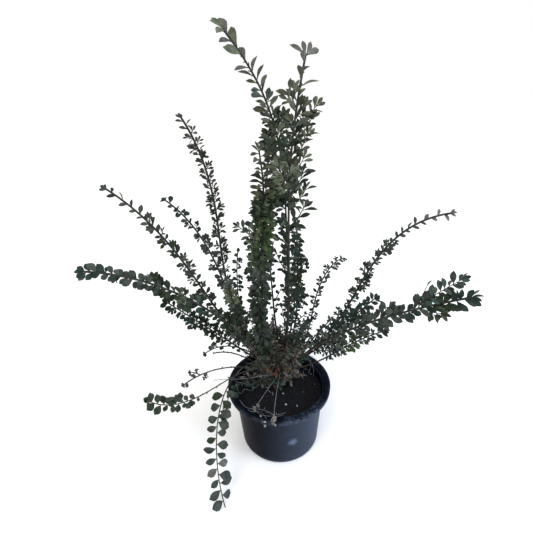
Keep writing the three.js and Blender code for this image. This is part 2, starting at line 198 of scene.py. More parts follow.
class Look:
    # a material and the nodes that give its colour, roughness and relief

    def __init__(self, name, colour, roughness, specular):
        self.material = bpy.data.materials.new(name)
        self.material.use_nodes = True
        self.material.diffuse_color = colour
        self.tree = self.material.node_tree
        self.shader = self.tree.nodes["Principled BSDF"].inputs
        self.shader["Base Color"].default_value = colour
        self.shader["Roughness"].default_value = roughness
        self.shader["Specular IOR Level"].default_value = specular
        self.relief = None

    def paint(self, colour):
        self.feed(self.shader["Base Color"], colour)

    def feed(self, socket, source):
        # the source is another node's output or a plain value
        if isinstance(source, bpy.types.NodeSocket):
            self.tree.links.new(source, socket)
        else:
            socket.default_value = source

    def add(self, kind, *sources, **settings):
        # a node with its settings and named sockets, and what feeds its first sockets
        node = self.tree.nodes.new(kind)
        for name, value in settings.items():
            if hasattr(node, name):
                setattr(node, name, value)
            else:
                self.feed(node.inputs[name], value)
        for socket, source in zip(node.inputs, sources):
            self.feed(socket, source)
        return node.outputs

    def place(self):
        return self.add("ShaderNodeTexCoord")["Object"]

    def noise(self, scale, detail, roughness=0.55, stretch=(1, 1, 1)):
        at = self.add("ShaderNodeMapping", self.place(), Scale=stretch)["Vector"]
        return self.add("ShaderNodeTexNoise", at, Scale=scale, Detail=detail, Roughness=roughness)["Fac"]

    def ramp(self, factor, *stops):
        # each stop is a place and a colour, or a place and a grey
        node = self.tree.nodes.new("ShaderNodeValToRGB")
        elements = node.color_ramp.elements
        while len(elements) < len(stops):
            elements.new(0.5)
        for element, (place, colour) in zip(elements, stops):
            element.position = place
            element.color = colour if isinstance(colour, tuple) else grey(colour)
        self.feed(node.inputs["Fac"], factor)
        return node.outputs["Color"]

    def math(self, operation, *values):
        return self.add("ShaderNodeMath", *values, operation=operation)[0]

    def times(self, *values):
        return reduce(lambda first, second: self.math("MULTIPLY", first, second), values)

    def plus(self, *values):
        return reduce(lambda first, second: self.math("ADD", first, second), values)

    def bump(self, height, strength, distance):
        # relief, laid over the one before it
        under = {"Normal": self.relief} if self.relief else {}
        bump = self.add("ShaderNodeBump", Height=height, Strength=strength, Distance=distance, **under)
        self.relief = bump["Normal"]
        self.feed(self.shader["Normal"], self.relief)


leafTones = {  # screen colours: the upper side, then its darker mottling
    "deep": ((40, 50, 36), (24, 33, 21)),
    "blue": ((36, 51, 44), (22, 35, 30)),
    "teal": ((62, 78, 71), (43, 56, 51)),
    "slate": ((57, 64, 58), (38, 44, 39)),
    "olive": ((74, 76, 60), (52, 54, 40)),
    "sage": ((97, 102, 84), (71, 77, 61)),
    "fresh": ((56, 73, 44), (40, 54, 31)),
    "lime": ((82, 88, 66), (58, 64, 47)),
    "pale": ((92, 92, 84), (68, 69, 62)),
    "brown": ((102, 93, 84), (66, 58, 52)),
    "rust": ((118, 88, 70), (78, 57, 46)),
    "ash": ((152, 148, 148), (112, 108, 109)),
    "tan": ((112, 108, 102), (78, 74, 70)),
}
leafLook = dict(
    dry=("brown", "rust", "tan", "ash"), underside=(122, 128, 112), undersideShare=0.2,
    smooth=0.5, matt=0.75, shine=0.14, dryShine=0.1, mottling=170, grain=1400,
    veins=46, slant=34, veinDepth=0.2, midrib=0.06, midribDepth=16, relief=0.35, undersideRelief=0.6,
)


def leafMaterial(kind, underside):
    light, dark = tones(*leafTones[kind])
    if underside:
        under, share = tone(*leafLook["underside"]), leafLook["undersideShare"]
        light, dark = [tuple((1 - share) * own + share * other for own, other in zip(colour, under))
                       for colour in (light, dark)]
    dry = kind in leafLook["dry"]
    look = Look(kind + ("LeafUnder" if underside else "LeafTop"), light,
                leafLook["matt" if dry or underside else "smooth"], leafLook["dryShine" if dry else "shine"])
    look.paint(look.ramp(look.noise(leafLook["mottling"], 4), (0.36, dark), (0.62, light)))
    # side veins run out and forward from the midrib
    axes = look.add("ShaderNodeSeparateXYZ", look.add("ShaderNodeUVMap", uv_map="leaf")["UV"])
    off = look.math("ABSOLUTE", look.math("SUBTRACT", axes["X"], 0.5))
    forward = look.times(off, leafLook["slant"])
    phase = look.math("SUBTRACT", look.times(axes["Y"], leafLook["veins"]), forward)
    veins = look.times(look.math("SINE", phase), leafLook["veinDepth"])
    midrib = look.times(look.math("MINIMUM", off, leafLook["midrib"]), leafLook["midribDepth"])
    look.bump(look.plus(veins, midrib), leafLook["undersideRelief" if underside else "relief"], 0.0002)
    look.bump(look.noise(leafLook["grain"], 2), 0.12, 0.0002)
    return look.material


barkTones = {  # screen colours: main, dark and light
    "bark": ((44, 41, 39), (24, 22, 21), (68, 63, 58)),
    "youngBark": ((38, 39, 35), (22, 22, 20), (56, 54, 48)),
    "dryBark": ((112, 113, 118), (74, 74, 78), (144, 143, 146)),
}


def barkMaterial(name):
    main, dark, light = tones(*barkTones[name])
    look = Look(name, main, 0.78, 0.25)
    coarse = look.noise(260, 5, 0.65, (1, 1, 0.45))
    fine = look.noise(1600, 4, 0.7, (1, 1, 0.6))
    look.paint(look.ramp(coarse, (0.3, dark), (0.5, main), (0.74, light)))
    look.feed(look.shader["Roughness"], look.ramp(fine, (0.3, 0.62), (0.7, 0.92)))
    look.bump(coarse, 0.5, 0.0006)
    look.bump(fine, 0.45, 0.0002)
    return look.material


earthTones = {  # screen colours: main, dark and light
    "pottingSoil": ((16, 17, 21), (8, 9, 12), (32, 31, 33)),
    "darkCrumb": ((19, 20, 24), (10, 11, 14), (38, 37, 38)),
    "brownCrumb": ((34, 29, 27), (19, 16, 15), (56, 48, 42)),
    "whiteGrit": ((176, 178, 182), (128, 130, 136), (214, 214, 214)),
}


def earthMaterial(name):
    main, dark, light = tones(*earthTones[name])
    look = Look(name, main, 0.94, 0.15)
    grains = look.noise(620, 6, 0.7)
    look.paint(look.ramp(grains, (0.28, dark), (0.5, main), (0.8, light)))
    look.bump(look.noise(210, 5, 0.7), 0.8, 0.0016)
    look.bump(grains, 0.8, 0.0006)
    return look.material


# Camera, at the place that the pot's outline gives

cameraLook = dict(place=(0, -357.5, 433.8), aim=(-0.0253, 0.8938, -0.4478), roll=-2.22, lens=24.99)


def makeCamera():
    data = bpy.data.cameras.new("camera")
    data.lens = cameraLook["lens"]
    data.sensor_width = 36
    data.clip_start = 0.01
    data.clip_end = 50
    camera = bpy.data.objects.new("camera", data)
    scene.collection.objects.link(camera)
    ahead = Vector(cameraLook["aim"]).normalized()
    right = ahead.cross(upward).normalized()
    above = right.cross(ahead)
    turned = Quaternion(ahead, -radians(cameraLook["roll"]))
    pose = Matrix((turned @ right, turned @ above, -ahead)).transposed().to_4x4()
    pose.translation = Vector(cameraLook["place"]) * metres
    camera.matrix_world = pose
    scene.camera = camera


# Pot

pot = dict(
    height=91, rimRadius=65, rimDrop=6.5, rimWidth=8.7, wall=1.8,
    neckRadius=56.3, footRadius=50.2, footRounding=5,
    drainHoles=6, drainRadius=4, drainRing=34, steps=160,
)
potLook = dict(  # a zone's stops are places, in metres or on a noise, each with how much pale dust or painted light it has there
    black=tone(7, 10, 17), dustAndPaintedLight=tone(106, 120, 144), mostDustAndPaintedLight=0.85, roughness=(0.34, 0.35),
    film=((0.24, 0), (0.5, 0.05)),
    waterMark=(0.016, -0.053, 0.04), markEdge=((0.006, 0.6), (0.0105, 0)), markRagged=0.008,
    # the stops below give the painted sheen on the right side, the painted highlight lines on the flange's
    # front, the painted highlight on the rim's outer edge, and the foot's pale dust with a painted reflection
    # of the floor
    flank=((0.005, 0), (0.085, 0.27)), flankShift=0.03, underRim=((0.0875, 1), (0.0895, 0)),
    paintedFlangeHighlight=((0.0862, 0), (0.0874, 1), (0.089, 1), (0.0908, 0)),
    flangeFront=((0.002, 0), (0.01, 1), (0.044, 1), (0.052, 0)), flangeHighlightBreakup=((0.44, 0), (0.6, 0.42)),
    rimEdge=((0.0622, 0), (0.0642, 1)), rimHighlightBreakup=((0.38, 0.03), (0.64, 0.2)),
    foot=((0.001, 0.14), (0.009, 0)),
)


def plasticMaterial():
    # black moulded plastic with a film of dust, paler at the foot with dust and a painted reflection of the
    # floor, a dry water mark low at the front, painted highlights on the flange and on the rim's outer edge,
    # and a painted sheen on its right side
    look = Look("potPlastic", tone(12, 13, 17), 0.4, 0.08)
    look.shader["IOR"].default_value = 1.2

    def zone(name, factor):
        return look.ramp(factor, *potLook[name])

    place = look.place()
    axes = look.add("ShaderNodeSeparateXYZ", place)
    level = look.add("ShaderNodeVectorMath", place, (1, 1, 0), operation="MULTIPLY")["Vector"]
    reach = look.add("ShaderNodeVectorMath", level, operation="LENGTH")["Value"]
    slope = (pot["neckRadius"] - pot["footRadius"]) / (pot["height"] - pot["rimDrop"])
    past = look.math("SUBTRACT", reach, look.times(axes["Z"], slope))
    outside = look.math("GREATER_THAN", past, (pot["footRadius"] - 0.9) * metres)

    film = zone("film", look.times(look.noise(55, 5, 0.62), look.noise(420, 3, 0.6)))
    fromMark = look.add("ShaderNodeVectorMath", place, potLook["waterMark"], operation="DISTANCE")["Value"]
    mark = zone("markEdge", look.plus(fromMark, look.times(look.noise(260, 4), potLook["markRagged"])))
    # painted sheen: paler and bluer towards the right side, below the rim and outside the wall, where light
    # from the right falls
    flank = zone("flank", look.plus(axes["X"], potLook["flankShift"]))
    paintedSideSheen = look.times(flank, zone("underRim", axes["Z"]), outside)
    # painted highlight lines on the flange's front right, broken up by noise
    paintedFlangeHighlight = look.times(zone("paintedFlangeHighlight", axes["Z"]), zone("flangeFront", axes["X"]),
                        zone("flangeHighlightBreakup", look.noise(240, 5, 0.7)))
    # painted highlight along the rim's outer edge, broken up by noise
    edge = look.times(zone("rimEdge", reach), zone("rimHighlightBreakup", look.noise(120, 4)))
    # pale dust and painted light together: the dust film, the water mark, the foot's dust and painted floor
    # reflection, the painted highlights and the painted sheen
    dustAndPaintedLight = look.plus(film, mark, zone("foot", axes["Z"]), paintedFlangeHighlight, edge, paintedSideSheen)
    amount = look.math("MINIMUM", dustAndPaintedLight, potLook["mostDustAndPaintedLight"])

    mix = look.tree.nodes.new("ShaderNodeMix")
    mix.data_type = "RGBA"
    for socket, source in ((0, amount), (6, potLook["black"]), (7, potLook["dustAndPaintedLight"])):
        look.feed(mix.inputs[socket], source)
    look.paint(mix.outputs[2])
    smooth, more = potLook["roughness"]
    look.feed(look.shader["Roughness"], look.plus(look.times(amount, more), smooth))
    look.bump(look.noise(2600, 2), 0.1, 0.0002)
    look.bump(look.noise(38, 2, 0.5, (1, 1, 0.3)), 0.25, 0.0012)
    return look.material


def wallRadius(z):
    # the wall's outer radius at a height
    neckHeight = pot["height"] - pot["rimDrop"]
    return pot["footRadius"] + (pot["neckRadius"] - pot["footRadius"]) * z / neckHeight


def potOutline():
    top, rim, wall, rounding = pot["height"], pot["rimRadius"], pot["wall"], pot["footRounding"]
    neck = top - pot["rimDrop"]
    edge = wallRadius(rounding)
    inside = rim - pot["rimWidth"]
    outline = [(0, 0.9), (41, 0.9), (41.8, 0.5), (42.3, 0.05), (43, 0)]  # a base raised inside its foot ring
    outline += arc((edge - rounding, rounding), rounding, -90, 0, 9)
    outline += between((edge, rounding), (wallRadius(neck - 5), neck - 5), 14)
    outline += arc((wallRadius(neck - 5) + 4.4, neck - 4.6), 4.4, 180, 96, 7)  # under the flange
    outline += [(61.4, neck - 0.15), (62.6, neck)]
    outline += arc((rim - 1.4, neck + 1.3), 1.2, -80, 0, 5)
    outline += [(rim - 0.15, neck + 2.7), (rim - 0.5, neck + 3.05), (rim - 0.15, neck + 3.4)]  # a seam
    outline += arc((rim - 1.5, top - 1.5), 1.5, 0, 90, 7)
    outline += [(rim - 3.2, top - 0.12), (rim - 4.6, top - 0.4), (inside + 2.2, top - 0.35)]
    outline += arc((inside + 1.2, top - 1.5), 1.2, 80, 180, 5)
    outline += [(wallRadius(neck - 3) - wall, neck - 3)]  # down the inside
    outline += between(outline[-1], (wallRadius(5) - wall, 5), 10)
    outline += arc((wallRadius(5) - wall - 3.2, 5), 3.2, 0, -90, 5)
    return outline + [(0, wall)]


def makePot():
    shell = addObject("nurseryPot", meshFrom(spun(potOutline(), pot["steps"])), plasticMaterial())
    bm = bmesh.new()
    for i in range(pot["drainHoles"]):
        turn = 2 * pi * i / pot["drainHoles"]
        place = Matrix.Translation((pot["drainRing"] * cos(turn), pot["drainRing"] * sin(turn), 0.9))
        bmesh.ops.create_cone(bm, cap_ends=True, segments=28, radius1=pot["drainRadius"],
                              radius2=pot["drainRadius"], depth=3 * pot["wall"], matrix=place)
    cutter = addObject("drainCutter", meshFrom(bm))
    cut = shell.modifiers.new("drain holes", "BOOLEAN")
    cut.operation = "DIFFERENCE"
    cut.object = cutter
    cut.solver = "EXACT"
    mesh = evaluated(shell)
    shell.modifiers.clear()
    shell.data = mesh
    bpy.data.objects.remove(cutter)
    mesh.shade_smooth()
    mesh.set_sharp_from_angle(angle=radians(40))
    dress(shell, ["pot"])


# Soil, its crumbs and the white grit on it

soil = dict(
    level=79, dip=1.2, steps=180, rings=44, relief=0.9,
    crumbs=1900, crumbSize=(0.5, 1.9), crumbReach=53, brownShare=0.12,
    grit=[  # x, y and size
        (4.8, -10.8, 1.5), (8, -28.7, 1.7), (21.3, -30.5, 1.2), (8.6, 24, 1.3), (43.6, 23.9, 0.8),
        (-47.1, 26.3, 1.2), (52, 20, 0.9), (-18, -33, 0.8), (31, -8, 0.7), (-4, -41, 0.8), (47, 6, 0.7),
    ],
)


def soilHeight(x, y):
    reach = hypot(x, y) / wallRadius(soil["level"])
    lumps = noise.fractal(Vector((x, y, 3)) * 0.16, 1.0, 2.0, 4)
    return soil["level"] - soil["dip"] * reach ** 2 + soil["relief"] * lumps


def makeSoil():
    inner = wallRadius(soil["level"]) - pot["wall"] - 0.15
    floor = pot["wall"] + 0.15
    corner = (wallRadius(floor + 3.5) - pot["wall"] - 0.3, floor + 3.5)
    outline = [(inner * i / soil["rings"], soil["level"]) for i in range(soil["rings"] + 1)]
    outline += between((inner, soil["level"]), corner, 6)
    outline += [corner, (wallRadius(floor) - pot["wall"] - 3.8, floor), (0, floor)]
    bm = spun(outline, soil["steps"])
    for corner in bm.verts:
        if corner.co.z > soil["level"] - 0.01:
            corner.co.z = soilHeight(corner.co.x, corner.co.y)
    dress(addObject("pottingSoil", meshFrom(bm), earthMaterial("pottingSoil")), ["soil"])


def crumbShape(seed):
    bm = bmesh.new()
    bmesh.ops.create_icosphere(bm, subdivisions=1, radius=1)
    for corner in bm.verts:
        corner.co *= 0.8 + 0.5 * noise.noise(corner.co * 1.3 + Vector((seed * 7.3, 0, 0)))
        corner.co.z *= 0.75
    return shapeOf(bm)


def tumbled(x, y, size, sunk, random, shape):
    # a copy that lies on the soil, turned at random
    at = Vector((x, y, soilHeight(x, y) + sunk * size))
    axis = Vector((spread(random, 1), spread(random, 1), spread(random, 1) + 0.01)).normalized()
    turned = Quaternion(axis, anyTurn(random)).to_matrix()
    return placed(shape, at, turned.col[1], turned.col[0], size, size)


def makeCrumbs():
    random = seededRandom(seeds["crumbs"])
    shapes = [crumbShape(seed) for seed in (1, 2, 3)]
    small, large = soil["crumbSize"]
    batches = {"darkCrumb": [], "brownCrumb": [], "whiteGrit": []}
    for i in range(soil["crumbs"]):
        reach, turn = soil["crumbReach"] * sqrt(random()), anyTurn(random)
        size = small + (large - small) * random() ** 3
        batch = batches["brownCrumb" if random() < soil["brownShare"] else "darkCrumb"]
        batch.append(tumbled(reach * cos(turn), reach * sin(turn), size, 0.2, random, shapes[i % 3]))
    for i, (x, y, size) in enumerate(soil["grit"]):
        batches["whiteGrit"].append(tumbled(x, y, size, 0.5, random, shapes[i % 3]))
    for look, batch in batches.items():
        name = look.replace("Crumb", "Crumbs")
        dress(addObject(name, scattered(batch), earthMaterial(look)), ["soil"])


# Leaves

# Against a leaf's length: its width, where it is widest, its stalk, its fold at the midrib, its tip's curl.
# full: the less, the blunter its ends
leafShapes = {
    "round": dict(width=0.72, widest=0.57, stalk=0.09, full=0.66, fold=0.18, curl=0.14),
    "blunt": dict(width=0.6, widest=0.6, stalk=0.1, full=0.68, fold=0.2, curl=0.16),
    "oval": dict(width=0.5, widest=0.56, stalk=0.09, full=0.74, fold=0.24, curl=0.18),
    "spoon": dict(width=0.37, widest=0.62, stalk=0.1, full=0.78, fold=0.26, curl=0.26),
    "paddle": dict(width=0.42, widest=0.62, stalk=0.08, full=0.72, fold=0.3, curl=0.25),
    "dead": dict(width=0.5, widest=0.52, stalk=0.14, full=0.8, fold=0.6, curl=0.5),
}
leafSize = dict(
    length=13.4, largeFrom=9.5, thickness=0.028, rows=6, columns={"small": 2, "large": 4},
)
fans = {  # leaves at a stem's end: degrees off its line and length
    "single": ((8, 1),),
    "pair": ((16, 0.9), (-30, 0.8)),
    "three": ((0, 0.9), (34, 0.85), (-34, 0.8)),
    "wide": ((14, 0.8), (-20, 0.72), (58, 0.95), (-58, 0.95)),
}
sunward = Vector((-0.2, -1, 0.5)).normalized()
facing = dict(least=0.48, nudge=0.7)  # a leaf that faces the light less than the least is nudged round


def leafShape(name, columns, rows):
    # a closed blade: stalk at the origin, tip at y = 1, upper side towards +z
    look = leafShapes[name]
    bm = bmesh.new()
    bmesh.ops.create_grid(bm, x_segments=columns, y_segments=rows, size=1)
    layer = bm.loops.layers.uv.new("leaf")
    copy = bmesh.ops.duplicate(bm, geom=bm.verts[:] + bm.edges[:] + bm.faces[:])["geom"]
    lower = [item for item in copy if isinstance(item, bmesh.types.BMFace)]
    bmesh.ops.reverse_faces(bm, faces=lower)
    for face in bm.faces:
        face.material_index = 1 if face in lower else 0
        for loop in face.loops:
            loop[layer].uv = ((loop.vert.co.x + 1) / 2, (loop.vert.co.y + 1) / 2)
    below = {corner for face in lower for corner in face.verts}
    bend = log(0.5) / log(look["widest"])
    for corner in bm.verts:
        u, t = corner.co.x, (corner.co.y + 1) / 2
        blade = max(0, (t * rows - 1) / (rows - 1))  # the first row is the stalk
        reach = look["stalk"] * min(1, rows * t) + (1 - look["stalk"]) * blade
        half = 0.5 * sin(pi * blade ** bend) ** look["full"] if 0 < blade < 1 else 0
        half = max(half, 0.035 / look["width"] * (1 - t) + 0.012)
        z = look["fold"] * abs(u) * half * look["width"] - look["curl"] * blade ** 2.2
        if corner in below:
            z -= leafSize["thickness"] * (1 - u * u) * min(1, 8 * t, 8 * (1 - t))
        corner.co = (u * half, reach, z)
    bmesh.ops.remove_doubles(bm, verts=bm.verts, dist=0.0001)
    return shapeOf(bm)


# Shoots: the same rule and sizes as the solids, with each shoot's own leaves

foot = dict(
    at=(3, 22), height=24, lean=(-0.06, 0.03),
    flareRadius=15.5, waistRadius=9.6, headRadius=11,
)
growth = dict(
    full=0.45, opensOver=30,  # share at which leaves are full size, length over which a tip opens
    bendIn=26, shrink=0.45, acrossBack=9, acrossLength=0.7,  # side twigs, and those across
    finerAt=((0.3, 1), (0.55, -1)), finerLength=0.45,
    spurLength=(3, 8), spurGap=(0.5, 1), spursEnd=16,
    stubsFrom=14, stubGap=(3, 8), stubLength=(2.2, 5.2),
)
# Angle to the stem, radii at root and tip, place of the first leaf; gap, size, straying and fan of the leaves
branches = {
    "twig": dict(angle=48, radii=(0.8, 0.45), first=5, gap=0.85, size=0.88, round=30, fan="three"),
    "finer": dict(angle=48, radii=(0.5, 0.3), first=4, gap=0.8, size=0.76, round=30, fan="pair"),
    "spur": dict(angle=62, radii=(0.5, 0.35), first=1, gap=1.9, size=1, round=50, fan="pair"),
    "spray": dict(angle=50, radii=(0.6, 0.4), first=6, gap=3.6, size=0.74, round=24, fan="three"),
    "stub": dict(angle=50, radii=(0.6, 0.42)),
}

# A shoot's own lines say what isn't as usual. Shares run along its leafy stretch.
# root: angle round the foot, distance from its middle, height above the soil
# grow: heading, swing, lift above level, bow, sway, in degrees
# length, bare, cut: whole, up to the first leaf, and left off at the tip; girth: at the root
# face, round: which way the two ranks of leaves look, and how far they stray; gap, size: of the leaves
usual = dict(
    tip=0.8, slender=1, cut=0,  # radius at the tip, girth against the solid's
    dead=False, stubs=True,  # whether its wood is dry, and whether its bare stretch has stubs
    leaf=("oval", 56, 1), tipLeaf=None,  # shape, angle to the stem, length; shape at an open tip
    young=0.6, density=1.2, fan="three",  # size of its first leaves, closeness, leaves at its end
    roll=38, twist=0,  # how far a leaf turns about its own line, at random and always
    low="deep blue", high="slate deep",  # kinds dealt out to its sprays, below and above its middle
    bands=(), run=24,  # kinds of single stretches, from and to a share; length of a spray
    open=(1, 1, 1),  # a sparse tip: from which share, its gap and its leaf size
    thin=(0, 1), clear=(0, 0),  # a sparse foot: to which share, its gap; a leafless stretch
    twigs=(0, 0), spurs=0, tuft=0.75,  # number and length; gap between spurs, size of their leaves
    sprays=None,  # long side twigs: first, last, step, rank, length
)
shoots = {
    "tallLeft": dict(root=(120, 4, 22), grow=(47, 172, 59, -17, 37), length=409, girth=3.4, bare=46, cut=9,
        tip=1.3, slender=0.8, face=-62, round=40, gap=4.4, size=0.95, young=0.55, roll=40, twist=55,
        leaf=("spoon", 42, 1.25), tipLeaf="paddle", fan="wide", low="deep deep olive",
        high="olive sage slate", bands=(("olive sage pale", 0.8, 1.1), ("deep slate", 0.57, 0.66),
        ("sage sage olive", 0.47, 0.57), ("deep blue", 0.38, 0.47)), run=12, open=(0.83, 2.1, 1.22),
        thin=(0.36, 1.6), clear=(186, 204), twigs=(6, 30), spurs=7.5),
    "tallRight": dict(root=(330, 5, 22), grow=(287, 115, 77, -4, 15), length=360, girth=3.4, bare=44, cut=5,
        tip=1.25, slender=0.8, face=-85, round=40, gap=4.8, size=0.95, young=0.5, roll=40, twist=55,
        leaf=("spoon", 40, 1.2), fan="wide", high="olive olive slate", bands=(("sage pale olive", 0.84, 1.1),
        ("deep olive", 0.68, 0.77), ("sage sage olive", 0.6, 0.68), ("deep blue", 0.5, 0.6)), run=12,
        open=(0.87, 1.8, 1.12), thin=(0.5, 1.45), clear=(202, 214), twigs=(7, 32), spurs=13,
        sprays=(168, 268, 17, 1, 27)),
    "frontColumn": dict(root=(235, 6, 20), grow=(230, -35, 53, 27, 30), length=290, girth=3.2, bare=34, cut=7,
        face=60, round=72, gap=1.7, size=0.88, young=0.8, roll=35, twist=66, leaf=("spoon", 66, 1.1),
        low="deep slate deep", high="deep olive deep", bands=(("fresh lime deep fresh", 0.52, 0.76),
        ("deep slate", 0.44, 0.52)), run=7, open=(0.88, 2.4, 1), twigs=(3, 20), spurs=2.8, tuft=0.9),
    "rearRight": dict(root=(45, 6, 19), grow=(60, 15, 33, 72, 17), length=205, girth=2.6, bare=32, face=18,
        round=60, gap=4.5, size=0.64, twist=40, leaf=("oval", 60, 1), high="deep blue", thin=(0.34, 1.4),
        twigs=(3, 16), spurs=9),
    "leftUpright": dict(root=(150, 7, 20), grow=(150, 5, 25, 30, 47), length=335, girth=3, bare=58, tip=1.2,
        face=-50, round=40, gap=6, size=0.72, young=0.75, roll=45, twist=40, leaf=("spoon", 46, 1),
        twigs=(6, 10), spurs=8, tuft=0.8),
    "leftBack": dict(root=(160, 8, 17), grow=(172, -20, 40, -15, 41), length=260, girth=2.8, bare=60, tip=1,
        face=-52, round=35, gap=7, size=0.68, young=0.8, roll=60, leaf=("blunt", 48, 0.95), low="deep slate",
        high="slate blue", twigs=(3, 12), spurs=14),
    "leftLong": dict(root=(184, 8, 12), grow=(176, -2, 41, -6, 25), length=305, girth=3, bare=62, tip=1.15,
        face=-60, round=30, gap=6, size=0.74, young=0.8, roll=60, leaf=("oval", 50, 0.95), low="deep slate",
        open=(0.84, 1.5, 1), twigs=(5, 14), spurs=12),
    "leftBough": dict(root=(205, 8, 14), grow=(190, 5, 61, -48, 7), length=270, girth=3.2, bare=55, tip=1.2,
        face=-64, round=38, gap=4.2, size=0.9, roll=55, twist=36, leaf=("blunt", 48, 1),
        high="slate deep blue", twigs=(3, 18), spurs=20),
    "leftLow": dict(root=(190, 8, 9), grow=(160, 50, 29, 21, 4), length=175, girth=2.6, bare=52, face=-62,
        round=25, gap=4.4, size=0.76, roll=50, twist=30, leaf=("blunt", 58, 0.9), low="slate deep slate",
        high="slate deep blue", twigs=(2, 20), spurs=8),
    "leftInner": dict(root=(223, 8, 19), grow=(195, 10, 36, 43, 17), length=150, girth=2.4, bare=34, face=85,
        round=60, gap=3.6, size=0.68, twist=40, low="slate olive slate", high="slate deep olive",
        bands=(("lime fresh sage", 0.7, 0.97),), run=8, twigs=(2, 20), spurs=5),
    "innerUpright": dict(root=(135, 8, 13), grow=(155, -85, -1, 68, 34), length=180, girth=2.2, bare=60,
        face=-6, round=30, gap=6.5, size=0.5, leaf=("round", 55, 1), low="deep", high="deep slate",
        twigs=(1, 12), spurs=12),
    "rightSmall": dict(root=(30, 7, 17), grow=(35, 10, 12, -31, 79), length=180, girth=2.2, bare=58, face=38,
        round=30, gap=5, size=0.6, leaf=("oval", 50, 1), low="blue deep", twigs=(1, 10), spurs=14),
    "rightLong": dict(root=(12, 8, 16), grow=(25, -35, 9, 1, 56), length=290, girth=3, bare=42, tip=1.2,
        face=60, round=40, gap=5, size=0.7, roll=60, leaf=("oval", 48, 0.95),
        bands=(("pale olive", 0.88, 1.1),), open=(0.8, 1.8, 1.1), twigs=(6, 14), spurs=9),
    "rightInner": dict(root=(2, 7, 21), grow=(-5, 20, 20, 16, 18), length=145, girth=2.4, bare=34, face=52,
        round=45, gap=3.5, size=0.72, high="deep fresh blue", twigs=(3, 28), spurs=5.5),
    "rightBough": dict(root=(335, 8, 15), grow=(0, -25, 49, -22, -7), length=240, girth=3.2, bare=50, tip=1.2,
        face=58, round=38, gap=4.9, size=1.02, roll=55, twist=36, leaf=("oval", 52, 1.05), low="deep slate",
        high="slate slate blue deep", twigs=(3, 26), spurs=20),
    "rightLow": dict(root=(350, 8, 11), grow=(-10, 0, 15, 10, 20), length=140, girth=2.4, bare=34, face=56,
        round=30, gap=3.7, size=0.64, leaf=("oval", 58, 1), low="deep fresh slate", high="deep slate",
        clear=(34, 58), twigs=(2, 24), spurs=6),
    "twigUpper": dict(root=(172, 8, 8), grow=(150, 45, 34, -68, 20), length=105, girth=1.8, bare=78,
        slender=0.95, face=-50, round=20, gap=9, size=0.5, density=0.8, leaf=("round", 56, 1), low="slate",
        twigs=(1, 8)),
    "twigForked": dict(root=(200, 8, 5), grow=(185, 20, 32, -58, 6), length=125, girth=1.8, bare=92,
        slender=0.95, face=-48, round=30, gap=9, size=0.42, density=0.8, leaf=("round", 56, 1), low="slate",
        high="slate", twigs=(1, 14)),
    "twigLeafy": dict(root=(215, 8, 9), grow=(210, -5, 60, -8, -71), length=175, girth=2.2, bare=112,
        slender=0.72, face=-46, round=25, gap=4.6, size=0.82, leaf=("round", 62, 0.95), low="deep slate",
        high="deep slate", twigs=(1, 12), spurs=22),
    "hanging": dict(root=(240, 8, 13), grow=(195, 105, 74, -127, -57), length=230, girth=2.2, bare=80,
        slender=0.72, face=-17, round=16, gap=5.8, size=1.1, density=1, young=0.9, roll=28,
        leaf=("round", 74, 1), low="slate deep", bands=(("slate pale", 0.62, 0.8),), run=11, clear=(80, 98)),
    "frontLeft": dict(root=(248, 8, 9), grow=(245, 5, 10, 1, -1), length=75, girth=1.6, bare=44, slender=0.4,
        face=-26, round=60, gap=2.6, size=0.34, low="pale slate", high="pale slate", clear=(44, 64),
        twigs=(1, 14), dead=True, stubs=False),
    "frontMiddle": dict(root=(268, 8, 14), grow=(262, 2, 16, -36, 6), length=84, girth=1.6, bare=50,
        slender=0.4, face=-8, round=60, gap=2.4, size=0.3, leaf=("dead", 56, 1), low="ash", high="ash tan",
        clear=(50, 76), twigs=(1, 14), dead=True, stubs=False),
    "backLeft": dict(root=(105, 7, 17), grow=(120, -15, 40, 22, 15), length=190, girth=2.6, bare=50, face=-16,
        round=45, gap=7, size=0.75, leaf=("round", 56, 0.95), high="blue slate", twigs=(3, 24), spurs=14),
    "backMiddle": dict(root=(85, 6, 20), grow=(104, -10, 52, -12, 22), length=225, girth=2.8, bare=52,
        face=-6, round=35, gap=7, size=0.75, leaf=("round", 56, 0.95), high="deep olive", thin=(0.8, 1.5),
        twigs=(4, 24), spurs=14),
    "backRight": dict(root=(62, 7, 15), grow=(68, 14, 34, 6, 20), length=175, girth=2.6, bare=48, face=9,
        round=40, gap=7, size=0.72, leaf=("round", 56, 0.95), high="blue slate", twigs=(3, 24), spurs=14),
}
# A bare twig too fine for a solid
bareTwig = dict(usual, root=(178, 8, 6), grow=(175, 15, 25, -35, 27), length=90, girth=1.7, bare=90, face=0)


class Spot:
    # a place on a stem: the way on, to the side and to the top, and how leaves grow there
    vigour, gap, thin, open, clear = 1, 1, False, False, False

    def __init__(self, at, along, side, top):
        self.at, self.along, self.side, self.top = at, along, side, top


def axesOf(along, level, face):
    side = level * cos(radians(face)) + along.cross(level) * sin(radians(face))
    return along, side, along.cross(side)


def growthAt(shoot, s):
    heading, swing, lift, bow, sway = shoot["grow"]
    h = radians(heading + swing * s)
    along = pointing(h, radians(lift + bow * s + sway * sin(pi * s)))
    return axesOf(along, Vector((-sin(h), cos(h), 0)), shoot["face"])


def routeOf(shoot):
    # spots at every millimetre of a shoot's length
    angle, out, up = shoot["root"]
    turn = radians(angle)
    at = Vector((foot["at"][0] + out * cos(turn), foot["at"][1] + out * sin(turn), soil["level"] + up))
    route = []
    for d in range(shoot["length"] + 1 - shoot["cut"]):
        route.append(Spot(at.copy(), *growthAt(shoot, d / shoot["length"])))
        at += growthAt(shoot, (d + 0.5) / shoot["length"])[0]
    return route


